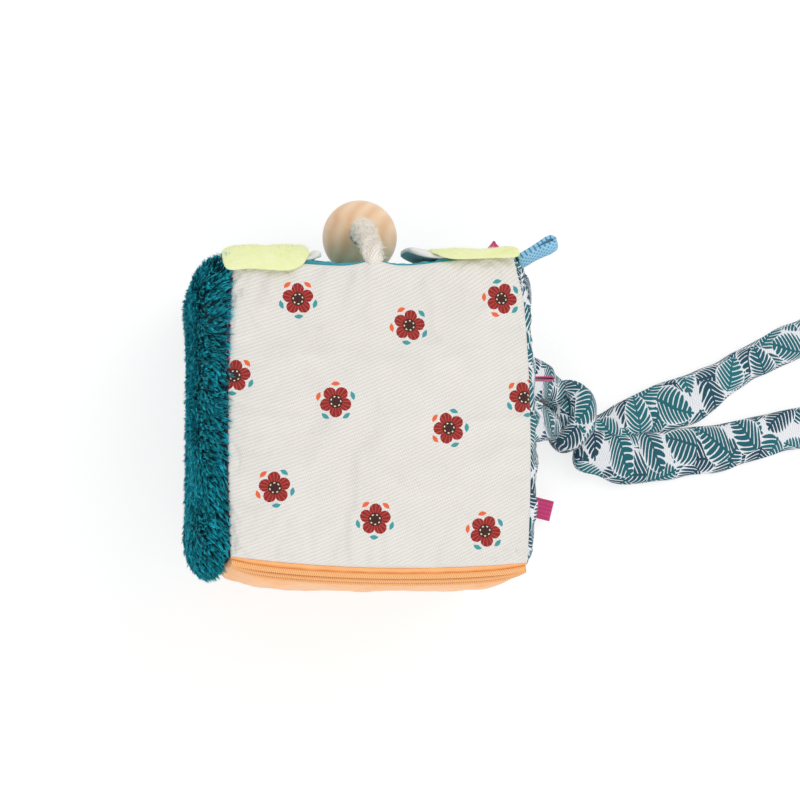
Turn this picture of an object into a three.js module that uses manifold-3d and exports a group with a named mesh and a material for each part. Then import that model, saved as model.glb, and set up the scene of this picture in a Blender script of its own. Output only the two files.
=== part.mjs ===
// Soft fabric activity block for a baby, lying on its back with the printed cream face up.
// Millimetres. +Z points out of the cream face, +Y out of the side with the rope and the
// wooden bead, +X out of the side with the carrying strap. The origin is the middle of the
// flat underside.
import * as THREE from "three";
import { mergeVertices } from "three/addons/utils/BufferGeometryUtils.js";
import Module from "manifold-3d";

const wasm = await Module();
wasm.setup();

// Block, seam to seam
const blockWidth = 105;
const blockLength = 109;
const blockDepth = 106;
const seamGap = 0.3;
const pressedDepth = 0.5;

// Cover cloths
const cottonWall = 1.6;
const satinWall = 1.6;
const plushWall = 5;

// Crown of each side above its seams, and how far its seams bow out of the straight line
const frontCrown = 4.5;
const frontBow = 0.6;
const backCrown = 4.5;
const backBow = 0;
const plushCrown = 12;
const plushBow = 1.5;
const leafCrown = 6.5;
const leafBow = 2.5;
const tealCrown = 4.5;
const tealBow = -3.5;
const ribbedCrown = 6.5;
const ribbedBow = 3;

// How far the cream side's corners are pulled out of square, as [x, y], by their side of X and Y
const cornerPulls = [
  [[-0.3, 3], [0.2, 0.3]],
  [[0.4, 0.8], [-2.2, 0.8]],
];

// Filling
const fillingClearance = 0.5;
const splitGap = 0.3;

// Rattle in the filling
const rattleRadius = 17;
const rattleWall = 1.6;
const rattleClearance = 0.4;
const rattleBallRadius = 7;
const rattleBallClearance = 0.3;

// Wooden bead and rope
const beadDiameter = 28.4;
const beadBore = 9.4;
const beadChamfer = 0.8;
const beadHeight = 36;
const beadClearance = 0.4;
const ropeDiameter = 7;
const ropeEndClearance = 0.45;
const ropeStartOut = 0.8;
const ropeSeamPlace = -3.4;
const ropeLean = 2.6;
const ropeFootRise = 0.3;

// Flaps on the rope side: puffed cover over a thin lining whose tip curls out
const flapLength = 33;
const flapHeight = 56;
const flapOverhang = 4.5;
const flapPuff = 2.8;
const flapRim = 1.3;
const flapFullness = 4;
const flapCurl = 2.5;
const liningWall = 1;
const liningTipLength = 6;
const liningTipCurl = 4.2;
const curlStart = 0.8;
const flapClearance = 0.35;
const flapLayerGap = 0.6;
const flapRootClearance = 0.8;
const flapHingeRise = 1.6;
const flapNose = 2.6;
const liningInset = 5.4;

// Three satin piping rows along the seam between the cream and the ribbed side
const pipingDiameter = 1.5;
const pipingPitch = 1.95;
const pipingFirst = 1.5;
const pipingClearance = 0.35;
const pipingEndInset = 2.5;

// Ribbon tags
const tagWidth = 8;
const tagLayer = 0.5;
const tagSlot = 0.5;
const tagRootClearance = 0.5;
const sideTagLength = 24;
const middleTagLength = 9;
const pointTagLength = 18;
const pointTagTip = 4;

// Mesh ribbon loop at the corner
const cornerLoopLength = 14.2;
const cornerLoopWidth = 8.4;
const cornerLoopLayer = 0.7;
const cornerLoopSlot = 1.4;
const cornerLoopRoll = -34;
const cornerLoopInset = 8;
const cornerLoopRootClearance = 1.2;

// Carrying strap: one flat cloth tube, both ends sewn to the leaf side, knotted once
const strapWidth = 17;
const strapThickness = 3.6;
const strapEdge = 1;
const strapPitch = 17.8;
const strapFloorGap = 0.3;
const strapRootHeight = 35;
const strapRootPlace = 9;
const strapRootClearance = 0.8;
const gatherShare = 0.5;
const knotLength = 21;
const knotWidth = 27;
const knotThickness = 19;
const knotFloorGap = 0.3;
const knotBandRadius = 7.4;
const knotBandThickness = 6.2;
const knotClearance = 0.35;
const knotPlace = [86, 4];
const exitPlace = -6.5;
const exitGather = 0.66;
const exitReach = 24;

// The knotted strap's free loop on the floor, from the knot round and back to it
const strapLoopRoute = [
  [88, -8.2], [94, -9.9], [101, -11.8], [116, -15], [130, -14.2], [143, -12], [154, -9], [164, -5.6],
  [175, -2.2], [192, 1.5], [212, 3], [232, 3.5], [250, 7], [262, 16], [265, 29], [257, 41],
  [240, 47.5], [218, 47.5], [196, 42], [175, 33.6], [160, 25.8], [145, 16.8], [132, 8.2],
  [122, 3.8], [113, 3.4], [101, 6.9], [94, 8.6], [88, 10.4],
];

// Step counts
const coverSteps = 13;
const edgeBunching = 0.55;
const flapRings = 5;
const flapSpokes = 26;
const ropeSides = 10;
const ropeSteps = 34;
const pipingSides = 8;
const pipingSteps = 20;
const strapLoopSteps = 56;
const strapEndSteps = 6;
const roundSteps = 24;
const rattleSteps = 16;
const arcSteps = 9;

// Derived sizes
const half = [blockWidth / 2, blockLength / 2, blockDepth / 2];
const middleHeight = half[2] + backCrown + backBow - pressedDepth;
const frontSeamHeight = middleHeight + half[2];
const rimInset = seamGap / Math.SQRT2;
const ropeRadius = ropeDiameter / 2;
const beadRadius = beadDiameter / 2;

// The six sides, as [minus, plus] along X, Y and Z. A higher fullness is a flatter crown.
const sides = [
  [
    { wall: plushWall, crown: plushCrown, bow: plushBow, fullness: 8 },
    { wall: cottonWall, crown: leafCrown, bow: leafBow, fullness: 3 },
  ],
  [
    { wall: satinWall, crown: ribbedCrown, bow: ribbedBow, fullness: 8 },
    { wall: cottonWall, crown: tealCrown, bow: tealBow, fullness: 3 },
  ],
  [
    { wall: cottonWall, crown: backCrown, bow: backBow, fullness: 3 },
    { wall: cottonWall, crown: frontCrown, bow: frontBow, fullness: 3 },
  ],
];

// A point of the puffed block. s lies on the unit cube, wallShare goes from the outside (0)
// to the inside (1) of the covers, and inset moves every side inwards.
function blockPoint(s, wallShare = 0, inset = 0) {
  const place = [0, 1, 2].map((a) => {
    const across = Math.abs(s[(a + 1) % 3]);
    const along = Math.abs(s[(a + 2) % 3]);
    const reach = sides[a].map((side) => {
      const swell = (1 - across ** side.fullness) * (1 - along ** side.fullness);
      const bowed = 1 - across ** 2 * along ** 2;
      return half[a] - side.wall * wallShare - inset + side.crown * swell + side.bow * bowed;
    });
    const plusShare = (1 + s[a]) / 2;
    return reach[1] * plusShare - reach[0] * (1 - plusShare);
  });
  const [plusX, plusY, plusZ] = s.map((share) => (1 + share) / 2);
  for (const a of [0, 1]) {
    const low = cornerPulls[0][0][a] * (1 - plusY) + cornerPulls[0][1][a] * plusY;
    const high = cornerPulls[1][0][a] * (1 - plusY) + cornerPulls[1][1][a] * plusY;
    place[a] += (low * (1 - plusX) + high * plusX) * plusZ;
  }
  return new THREE.Vector3(place[0], place[1], place[2] + middleHeight);
}

// Where the teal side's surface lies over a given x and height, held at its seams outside them.
function tealPoint(x, height) {
  let acrossShare = 0;
  let upShare = 0;
  for (let i = 0; i < 12; i++) {
    const now = blockPoint([acrossShare, 1, upShare]);
    acrossShare = THREE.MathUtils.clamp(acrossShare + (x - now.x) / half[0], -1, 1);
    upShare = THREE.MathUtils.clamp(upShare + (height - now.z) / half[2], -1, 1);
  }
  return blockPoint([acrossShare, 1, upShare]);
}

// Closed geometry from points and triangles of point numbers.
function geometryFrom(points, triangles) {
  const geometry = new THREE.BufferGeometry();
  geometry.setAttribute(
    "position",
    new THREE.Float32BufferAttribute(points.flatMap((p) => [p.x, p.y, p.z]), 3),
  );
  geometry.setIndex(triangles.flat());
  return geometry;
}

// A cloth or pad between two faces with the same net of triangles, closed along its rim.
function layerGeometry(outer, inner, triangles) {
  const count = outer.length;
  const edges = new Map();
  for (const [a, b, c] of triangles) {
    for (const [from, to] of [[a, b], [b, c], [c, a]]) {
      if (!edges.delete(to + "," + from)) edges.set(from + "," + to, [from, to]);
    }
  }
  const rim = [...edges.values()].flatMap(([from, to]) => [
    [to, from, from + count],
    [to, from + count, to + count],
  ]);
  const inside = triangles.map(([a, b, c]) => [c + count, b + count, a + count]);
  return geometryFrom([...outer, ...inner], [...triangles, ...inside, ...rim]);
}

// Triangles of a square net of points, row by row.
function netTriangles(steps) {
  const row = steps + 1;
  const triangles = [];
  for (let i = 0; i < steps; i++) {
    for (let j = 0; j < steps; j++) {
      const a = i * row + j;
      triangles.push([a, a + row, a + row + 1], [a, a + row + 1, a + 1]);
    }
  }
  return triangles;
}

// Triangles of a disc: its middle point first, then rings of spokes from the middle out.
function discTriangles(rings, spokes) {
  const triangles = [];
  for (let k = 0; k < spokes; k++) {
    const next = (k + 1) % spokes;
    triangles.push([0, 1 + k, 1 + next]);
    for (let r = 0; r < rings - 1; r++) {
      const near = 1 + r * spokes;
      const far = near + spokes;
      triangles.push([near + k, far + k, far + next], [near + k, far + next, near + next]);
    }
  }
  return triangles;
}

function solidFrom(geometry) {
  const bare = geometry.clone();
  bare.deleteAttribute("normal");
  bare.deleteAttribute("uv");
  const merged = mergeVertices(bare, 1e-3);
  return new wasm.Manifold(
    new wasm.Mesh({
      numProp: 3,
      vertProperties: merged.attributes.position.array,
      triVerts: new Uint32Array(merged.index.array),
    }),
  );
}

function geometryOf(solid) {
  const mesh = solid.getMesh();
  const geometry = new THREE.BufferGeometry();
  geometry.setAttribute("position", new THREE.BufferAttribute(mesh.vertProperties, 3));
  geometry.setIndex(new THREE.BufferAttribute(mesh.triVerts, 1));
  return geometry;
}

// A box between two corners, used to cut with.
function boxSolid(low, high) {
  const box = new THREE.BoxGeometry(high.x - low.x, high.y - low.y, high.z - low.z);
  box.translate((low.x + high.x) / 2, (low.y + high.y) / 2, (low.z + high.z) / 2);
  return solidFrom(box);
}

function material(color, roughness, metalness = 0) {
  return new THREE.MeshStandardMaterial({ color, roughness, metalness });
}

const cream = material("#e9e2d6", 0.85);
const backCloth = material("#e6dccb", 0.88);
const plush = material("#065363", 0.98);
const leafPrint = material("#d9dfe0", 0.85);
const teal = material("#3da0aa", 0.9);
const orangeSatin = material("#f9b577", 0.45);
const orangePiping = material("#f0a25e", 0.4);
const foam = material("#efe9dc", 0.95);
const rattlePlastic = material("#f4f1ea", 0.5);
const beech = material("#dbb58a", 0.55);
const cotton = material("#e8dcc6", 0.95);
const lime = material("#e6eb9b", 0.9);
const white = material("#f3f3ee", 0.9);
const pinkRibbon = material("#c73b74", 0.55);
const blueMesh = material("#74b3d0", 0.7);

const block = new THREE.Group();

function add(name, geometry, look, parent = block) {
  const mesh = new THREE.Mesh(geometry, look);
  mesh.name = name;
  parent.add(mesh);
  return mesh;
}

// A net of points over one side of the block, closer together near the seams. Its edge stays
// short of the seams by trim.
function sidePoints(axis, sign, wallShare, inset, trim) {
  const first = (axis + (sign > 0 ? 1 : 2)) % 3;
  const second = (axis + (sign > 0 ? 2 : 1)) % 3;
  const share = (i, k) => {
    const even = (2 * i) / coverSteps - 1;
    const bunched = Math.sin((even * Math.PI) / 2);
    return (even + (bunched - even) * edgeBunching) * (1 - trim / half[k]);
  };
  const points = [];
  for (let i = 0; i <= coverSteps; i++) {
    for (let j = 0; j <= coverSteps; j++) {
      const s = [0, 0, 0];
      s[axis] = sign;
      s[first] = share(i, first);
      s[second] = share(j, second);
      points.push(blockPoint(s, wallShare, inset));
    }
  }
  return points;
}

// Cover panels: each swells between its seams, and neighbours meet in a mitre.
function coverGeometry(axis, sign) {
  const outside = sidePoints(axis, sign, 0, 0, rimInset);
  const inside = sidePoints(axis, sign, 1, 0, rimInset);
  return layerGeometry(outside, inside, netTriangles(coverSteps));
}

add("front_panel", coverGeometry(2, 1), cream);
add("plush_panel", coverGeometry(0, -1), plush);
add("leaf_print_panel", coverGeometry(0, 1), leafPrint);
add("teal_panel", coverGeometry(1, 1), teal);
add("ribbed_panel", coverGeometry(1, -1), orangeSatin);

// The underside is pressed flat where the block lies on it.
const below = boxSolid(
  new THREE.Vector3(-blockWidth, -blockLength, -blockDepth),
  new THREE.Vector3(blockWidth, blockLength, 0),
);
add("back_panel", geometryOf(solidFrom(coverGeometry(2, -1)).subtract(below)), backCloth);

// Foam filling in two halves, with a round pocket for the rattle across the split.
function fillingSolid() {
  const points = [];
  const triangles = [];
  for (let axis = 0; axis < 3; axis++) {
    for (const sign of [-1, 1]) {
      const start = points.length;
      points.push(...sidePoints(axis, sign, 1, fillingClearance, 0));
      triangles.push(...netTriangles(coverSteps).map((t) => t.map((n) => n + start)));
    }
  }
  return solidFrom(geometryFrom(points, triangles));
}

function ballSolid(radius) {
  const ball = new THREE.SphereGeometry(radius, rattleSteps, rattleSteps / 2);
  ball.rotateX(Math.PI / 2);
  ball.translate(0, 0, middleHeight);
  return solidFrom(ball);
}

const pocketRadius = (rattleRadius + rattleClearance) / Math.cos(Math.PI / rattleSteps);
const filling = fillingSolid().subtract(ballSolid(pocketRadius));
const innerFloor = boxSolid(
  new THREE.Vector3(-blockWidth, -blockLength, -blockDepth),
  new THREE.Vector3(blockWidth, blockLength, cottonWall + fillingClearance),
);
const upperSpace = boxSolid(
  new THREE.Vector3(-blockWidth, -blockLength, middleHeight + splitGap / 2),
  new THREE.Vector3(blockWidth, blockLength, middleHeight + blockDepth),
);
const lowerSpace = boxSolid(
  new THREE.Vector3(-blockWidth, -blockLength, middleHeight - blockDepth),
  new THREE.Vector3(blockWidth, blockLength, middleHeight - splitGap / 2),
);
add("foam_core_upper", geometryOf(filling.intersect(upperSpace)), foam);
add("foam_core_lower", geometryOf(filling.intersect(lowerSpace).subtract(innerFloor)), foam);

// Rattle: two half shells and a loose ball that rests at the bottom.
function halfShell() {
  const profile = [];
  const rise = splitGap / 2;
  for (const radius of [rattleRadius, rattleRadius - rattleWall]) {
    const start = Math.asin(rise / radius);
    const arc = [];
    const steps = rattleSteps / 4;
    for (let i = 0; i <= steps; i++) {
      const angle = start + ((Math.PI / 2 - start) * i) / steps;
      const out = i === steps ? 0 : Math.cos(angle) * radius;
      arc.push(new THREE.Vector2(out, Math.sin(angle) * radius));
    }
    profile.push(...(radius === rattleRadius ? arc.reverse() : arc));
  }
  // the profile runs from the outer pole down, along the rim and up to the inner pole
  const shell = new THREE.LatheGeometry(profile.reverse(), rattleSteps);
  shell.rotateX(Math.PI / 2);
  return shell;
}

for (const [name, turn] of [["rattle_case_upper", 0], ["rattle_case_lower", Math.PI]]) {
  const shell = add(name, halfShell(), rattlePlastic);
  shell.position.z = middleHeight;
  shell.rotation.x = turn;
}

const rattleInside = (rattleRadius - rattleWall) * Math.cos(Math.PI / rattleSteps);
const rattleBallDrop = rattleInside - rattleBallRadius - rattleBallClearance;
const rattleBall = add(
  "rattle_ball",
  new THREE.SphereGeometry(rattleBallRadius, rattleSteps, rattleSteps / 2),
  beech,
);
rattleBall.position.z = middleHeight - rattleBallDrop;

// Rope from the front seam to the back seam over the teal side, through the bead. Its route
// as shares of its reach out from the seam and of the way down from the front seam.
const ropeRouteShares = [
  [0.15, -0.006], [0.3, 0.018], [0.44, 0.062], [0.58, 0.12], [0.72, 0.195], [0.86, 0.29],
  [0.965, 0.4], [1, 0.5], [1, 0.68], [1, 0.82], [0.93, 0.9], [0.71, 0.963], [0.4, 0.992],
];
const frontSeam = blockPoint([0, 1, 1]);
const backSeam = blockPoint([0, 1, -1]);
const beadOut = tealPoint(0, beadHeight).y + beadClearance + beadRadius;
const ropeReach = beadOut - frontSeam.y;
const ropeDrop = frontSeam.z - backSeam.z;
const ropeStart = ropeEndClearance / Math.SQRT2;
const ropeRoute = new THREE.CatmullRomCurve3(
  [
    new THREE.Vector3(ropeSeamPlace, frontSeam.y + ropeStartOut, frontSeam.z + ropeStart),
    ...ropeRouteShares.map(([out, down]) => {
      const x = down < 0.5 ? ropeSeamPlace * (1 - out ** ropeLean) : 0;
      return new THREE.Vector3(x, frontSeam.y + ropeReach * out, frontSeam.z - ropeDrop * down);
    }),
    new THREE.Vector3(0, backSeam.y + ropeEndClearance * 3, backSeam.z + ropeFootRise),
  ],
  false,
  "centripetal",
);

function roundSection(radius, sideCount) {
  const section = new THREE.Shape();
  for (let i = 0; i < sideCount; i++) {
    const angle = (2 * Math.PI * (i + 0.5)) / sideCount;
    const x = Math.cos(angle) * radius;
    const y = Math.sin(angle) * radius;
    if (i === 0) section.moveTo(x, y);
    else section.lineTo(x, y);
  }
  section.closePath();
  return section;
}

function tube(section, route, steps) {
  return new THREE.ExtrudeGeometry(section, {
    steps,
    extrudePath: route,
    bevelEnabled: false,
  });
}

add("rope", tube(roundSection(ropeRadius, ropeSides), ropeRoute, ropeSteps), cotton);

// Turned bead with a chamfered bore, loose on the rope.
function beadGeometry() {
  const boreRadius = beadBore / 2;
  const mouthRadius = boreRadius + beadChamfer;
  const mouthHeight = Math.sqrt(beadRadius ** 2 - mouthRadius ** 2);
  const boreHeight = mouthHeight - beadChamfer;
  const start = Math.asin(mouthHeight / beadRadius);
  const profile = [new THREE.Vector2(boreRadius, -boreHeight)];
  for (let i = 0; i <= 2 * arcSteps; i++) {
    const angle = -start + (start * i) / arcSteps;
    profile.push(new THREE.Vector2(Math.cos(angle) * beadRadius, Math.sin(angle) * beadRadius));
  }
  profile.push(new THREE.Vector2(boreRadius, boreHeight), profile[0].clone());
  const bead = new THREE.LatheGeometry(profile, roundSteps);
  bead.rotateX(Math.PI / 2);
  return bead;
}

const bead = add("wooden_bead", beadGeometry(), beech);
bead.position.set(0, beadOut, beadHeight);

// Flaps: leaf-shaped pads sewn along the outer seams of the teal side. The outline is in
// shares of the flap's length and half height, from the root round the tip and back.
const flapOutlineShares = [];
for (let k = 0; k < flapSpokes; k++) {
  const angle = (2 * Math.PI * k) / flapSpokes;
  const narrow = 1 - 0.1 * Math.max(0, Math.cos(angle)) - 0.06 * Math.cos(angle);
  flapOutlineShares.push([
    Math.sign(Math.cos(angle)) * Math.abs(Math.cos(angle)) ** 0.62,
    Math.sign(Math.sin(angle)) * Math.abs(Math.sin(angle)) ** 0.55 * narrow,
  ]);
}

// Points of one face of a flap: lift(r, u) is the height over the teal side.
function flapFace(side, length, inset, lift) {
  const root = side * (half[0] - flapRootClearance);
  const centreHeight = frontSeamHeight + flapOverhang - flapHeight / 2;
  const points = [];
  for (let r = 0; r <= flapRings; r++) {
    const ring = r === 0 ? [[0, 0]] : flapOutlineShares;
    for (const [u, v] of ring) {
      const ringShare = Math.sin((Math.PI / 2) * (r / flapRings));
      const alongShare = (1 + u * ringShare) / 2;
      const out = length * alongShare;
      const x = root - side * out;
      const height = centreHeight + (flapHeight / 2 - inset) * v * ringShare;
      const under = tealPoint(x, height);
      const over = Math.max(0, height - frontSeamHeight);
      const nose = (flapNose * over) / flapOverhang;
      const y = under.y + lift(ringShare, out) - nose;
      points.push(new THREE.Vector3(x, y, height));
    }
  }
  return points;
}

const flapTriangles = discTriangles(flapRings, flapSpokes);
const turned = (triangles) => triangles.map(([a, b, c]) => [c, b, a]);
const curlEnd = 1 + liningTipLength / flapLength;
const curlOf = (out, rise) =>
  rise * (Math.max(0, out / flapLength - curlStart) / (curlEnd - curlStart)) ** 2;

for (const [label, side] of [["left", -1], ["right", 1]]) {
  const hinge = new THREE.Group();
  const rootSeam = tealPoint(side * half[0], middleHeight);
  hinge.position.set(side * half[0], rootSeam.y + flapHingeRise, middleHeight);
  block.add(hinge);
  const liningBase = (ring, out) => flapClearance + curlOf(out, liningTipCurl);
  const liningTop = (ring, out) => liningBase(ring, out) + liningWall;
  const coverBase = (ring, out) => liningTop(ring, out) + flapLayerGap;
  const coverTop = (ring, out) =>
    coverBase(ring, out) + flapRim + flapPuff * (1 - ring ** flapFullness) - curlOf(out, flapCurl) / 2;
  const faces = side < 0 ? turned(flapTriangles) : flapTriangles;
  const pieces = [
    ["flap_" + label + "_cover", flapLength, 0, coverTop, coverBase, lime],
    [
      "flap_" + label + "_lining",
      flapLength + liningTipLength,
      liningInset,
      liningTop,
      liningBase,
      white,
    ],
  ];
  for (const [name, length, inset, top, base, look] of pieces) {
    const outer = flapFace(side, length, inset, top).map((p) => p.sub(hinge.position));
    const inner = flapFace(side, length, inset, base).map((p) => p.sub(hinge.position));
    add(name, layerGeometry(outer, inner, faces), look, hinge);
  }
}

// Piping rows on the ribbed side, side by side below the front seam.
for (let row = 0; row < 3; row++) {
  const upShare = 1 - (pipingFirst + row * pipingPitch) / half[2];
  const endShare = 1 - pipingEndInset / half[0];
  const points = [];
  for (let i = 0; i <= pipingSteps; i++) {
    const acrossShare = endShare * ((2 * i) / pipingSteps - 1);
    const p = blockPoint([acrossShare, -1, upShare]);
    p.y -= pipingDiameter / 2 + pipingClearance;
    points.push(p);
  }
  const route = new THREE.CatmullRomCurve3(points);
  const section = roundSection(pipingDiameter / 2, pipingSides);
  add("piping_row_" + (row + 1), tube(section, route, pipingSteps), orangePiping);
}

// Ribbon folded at its tip into two layers: along +X, layers in Y, width in Z. slotAt gives
// the open slot between the layers at a share of the length.
function foldedRibbon(length, width, layer, slot, slotAt) {
  const outline = new THREE.Shape();
  const straight = length - slot / 2 - layer;
  const edge = (grow) => {
    const points = [];
    for (let i = 0; i <= arcSteps; i++) {
      const share = i / arcSteps;
      points.push([straight * share, (slot / 2) * slotAt(share) + grow]);
    }
    for (let i = 1; i < arcSteps; i++) {
      const angle = Math.PI / 2 - (Math.PI * i) / arcSteps;
      const reach = slot / 2 + grow;
      points.push([straight + Math.cos(angle) * reach, Math.sin(angle) * reach]);
    }
    for (let i = arcSteps; i >= 0; i--) {
      const share = i / arcSteps;
      points.push([straight * share, -(slot / 2) * slotAt(share) - grow]);
    }
    return points;
  };
  const outside = edge(layer);
  const inside = edge(0).reverse();
  [...outside, ...inside].forEach(([x, y], i) => {
    if (i === 0) outline.moveTo(x, y);
    else outline.lineTo(x, y);
  });
  outline.closePath();
  const ribbon = new THREE.ExtrudeGeometry(outline, { depth: width, bevelEnabled: false });
  ribbon.translate(0, 0, -width / 2);
  return ribbon;
}

const flatSlot = () => 1;
const openSlot = (share) => 0.35 + 0.65 * Math.sin((Math.PI / 2) * share);

// A group at a point of the block's surface, turned about Z by yaw, then tipped and rolled.
function seamGroup(s, yaw, pitch, roll) {
  const group = new THREE.Group();
  group.position.copy(blockPoint(s));
  group.rotation.set(roll, pitch, yaw, "ZYX");
  block.add(group);
  return group;
}

// Side tag: in the seam between the leaf side and the underside, lying flat.
const degree = Math.PI / 180;
const sideTag = seamGroup([1, -0.505, -1], -14 * degree, -3 * degree, Math.PI / 2);
const sideTagMesh = add(
  "tag_side",
  foldedRibbon(sideTagLength, tagWidth, tagLayer, tagSlot, flatSlot),
  pinkRibbon,
  sideTag,
);
sideTagMesh.position.x = tagRootClearance + tagWidth * Math.sin(14 * degree) / 2;

// Middle tag: stands on the leaf side beside the strap, edge up.
const middleTag = seamGroup([1, 0.325, 0.06], 2 * degree, 0, 0);
const middleTagMesh = add(
  "tag_middle",
  foldedRibbon(middleTagLength, tagWidth, tagLayer, tagSlot, flatSlot),
  pinkRibbon,
  middleTag,
);
middleTagMesh.position.x = tagRootClearance;

// Pointed tag: in the seam between the teal and the leaf side, two layers pressed together.
const pointTag = seamGroup([1, 1, -0.62], 94 * degree, 0, -36 * degree);
const pointOutline = new THREE.Shape([
  new THREE.Vector2(0, -tagWidth / 2),
  new THREE.Vector2(pointTagLength - pointTagTip, -tagWidth / 2),
  new THREE.Vector2(pointTagLength, 0),
  new THREE.Vector2(pointTagLength - pointTagTip, tagWidth / 2),
  new THREE.Vector2(0, tagWidth / 2),
]);
const pointRibbon = new THREE.ExtrudeGeometry(pointOutline, {
  depth: 2 * tagLayer,
  bevelEnabled: false,
});
pointRibbon.translate(0, 0, -tagLayer);
pointRibbon.rotateX(Math.PI / 2);
add("tag_pointed", pointRibbon, pinkRibbon, pointTag).position.x = 2 * tagRootClearance;

// Corner loop: mesh ribbon folded into a small loop beside the front corner.
const cornerShare = 1 - cornerLoopInset / half[2];
const cornerLoop = seamGroup([1, 1, cornerShare], 30 * degree, 0, cornerLoopRoll * degree);
add(
  "corner_loop",
  foldedRibbon(cornerLoopLength, cornerLoopWidth, cornerLoopLayer, cornerLoopSlot, openSlot),
  blueMesh,
  cornerLoop,
).position.x = cornerLoopRootClearance;

// Strap section: flat with rounded edges, across then thick.
function strapSection(across, thick) {
  const a = across / 2;
  const t = thick / 2;
  const outline = [
    [-a, -t + strapEdge], [-a + strapEdge, -t], [0, -t], [a - strapEdge, -t], [a, -t + strapEdge],
    [a, t - strapEdge], [a - strapEdge, t], [0, t], [-a + strapEdge, t], [-a, t - strapEdge],
  ];
  return new THREE.Shape(outline.map(([x, y]) => new THREE.Vector2(x, y)));
}

// Knot: a rounded lump with one turn of strap wrapped slantwise round it.
const knotHeight = knotThickness / 2 + knotFloorGap;
function knotSolid(grow) {
  const lump = new THREE.SphereGeometry(1, roundSteps, roundSteps / 2);
  lump.scale(knotLength / 2 + grow, knotWidth / 2 + grow, knotThickness / 2 + grow);
  const band = new THREE.TorusGeometry(
    knotBandRadius,
    knotBandThickness / 2 + grow,
    arcSteps + 1,
    roundSteps,
  );
  band.rotateY(Math.PI / 2);
  band.scale(1, knotWidth / knotThickness, 1);
  band.rotateZ(24 * degree);
  const floor = boxSolid(
    new THREE.Vector3(-knotLength * 2, -knotWidth * 2, -knotThickness * 2),
    new THREE.Vector3(knotLength * 2, knotWidth * 2, -knotThickness / 2 - grow),
  );
  const whole = solidFrom(lump).add(solidFrom(band)).subtract(floor);
  return whole.translate([knotPlace[0], knotPlace[1], knotHeight]);
}

const knot = knotSolid(0);
const knotSpace = knotSolid(knotClearance);
const strapHinge = new THREE.Group();
block.add(strapHinge);
const rootX = blockPoint([1, strapRootPlace / half[1], (strapRootHeight - middleHeight) / half[2]]).x;
strapHinge.position.set(rootX, strapRootPlace, strapRootHeight);

function addStrapPiece(name, geometry) {
  geometry.translate(-strapHinge.position.x, -strapHinge.position.y, -strapHinge.position.z);
  return add(name, geometry, leafPrint, strapHinge);
}

addStrapPiece("strap_knot", geometryOf(knot));

// The two sewn ends, side by side at the leaf side, run down into the knot and are gathered
// there: gatherShare of their width is left.
const endStart = rootX + strapRootClearance;
const endReach = knotPlace[0] - endStart;
const endDrop = strapRootHeight - knotHeight;
const endRouteShares = [[0, 0], [0.14, 0.02], [0.36, 0.24], [0.6, 0.66], [0.85, 0.95]];
for (const [label, side] of [["upper", 1], ["lower", -1]]) {
  const rootY = strapRootPlace + (side * strapPitch) / 2;
  const route = new THREE.CatmullRomCurve3(
    endRouteShares.map(
      ([out, down]) =>
        new THREE.Vector3(endStart + endReach * out, rootY, strapRootHeight - endDrop * down),
    ),
  );
  const end = tube(strapSection(strapWidth, strapThickness), route, strapEndSteps);
  const points = end.attributes.position;
  for (let i = 0; i < points.count; i++) {
    const pull = THREE.MathUtils.clamp((points.getX(i) - endStart) / endReach, 0, 1) ** 1.5;
    const gathered = knotPlace[1] + (points.getY(i) - strapRootPlace) * gatherShare;
    points.setY(i, THREE.MathUtils.lerp(points.getY(i), gathered, pull));
  }
  addStrapPiece("strap_end_" + label, geometryOf(solidFrom(end).subtract(knotSpace)));
}

// The free loop lies on the floor.
const loopHeight = strapThickness / 2 + strapFloorGap;
const loopRoute = new THREE.CatmullRomCurve3(
  strapLoopRoute.map(([x, y]) => new THREE.Vector3(x, y, loopHeight)),
  false,
  "centripetal",
);
const loopTube = tube(strapSection(strapThickness, strapWidth), loopRoute, strapLoopSteps);
const loopPoints = loopTube.attributes.position;
const loopStart = strapLoopRoute[0];
const loopEnd = strapLoopRoute[strapLoopRoute.length - 1];
const loopMiddle = (loopStart[1] + loopEnd[1]) / 2;
for (let i = 0; i < loopPoints.count; i++) {
  const past = (loopPoints.getX(i) - loopStart[0]) / exitReach;
  const pull = THREE.MathUtils.clamp(1 - past, 0, 1) ** 1.5;
  const gathered = exitPlace + (loopPoints.getY(i) - loopMiddle) * exitGather;
  loopPoints.setY(i, THREE.MathUtils.lerp(loopPoints.getY(i), gathered, pull));
}
addStrapPiece("strap_loop", geometryOf(solidFrom(loopTube).subtract(knotSpace)));

export default block;
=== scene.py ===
import math
from functools import partial

import bpy
import numpy as np
from mathutils import Matrix, Vector, kdtree


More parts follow.
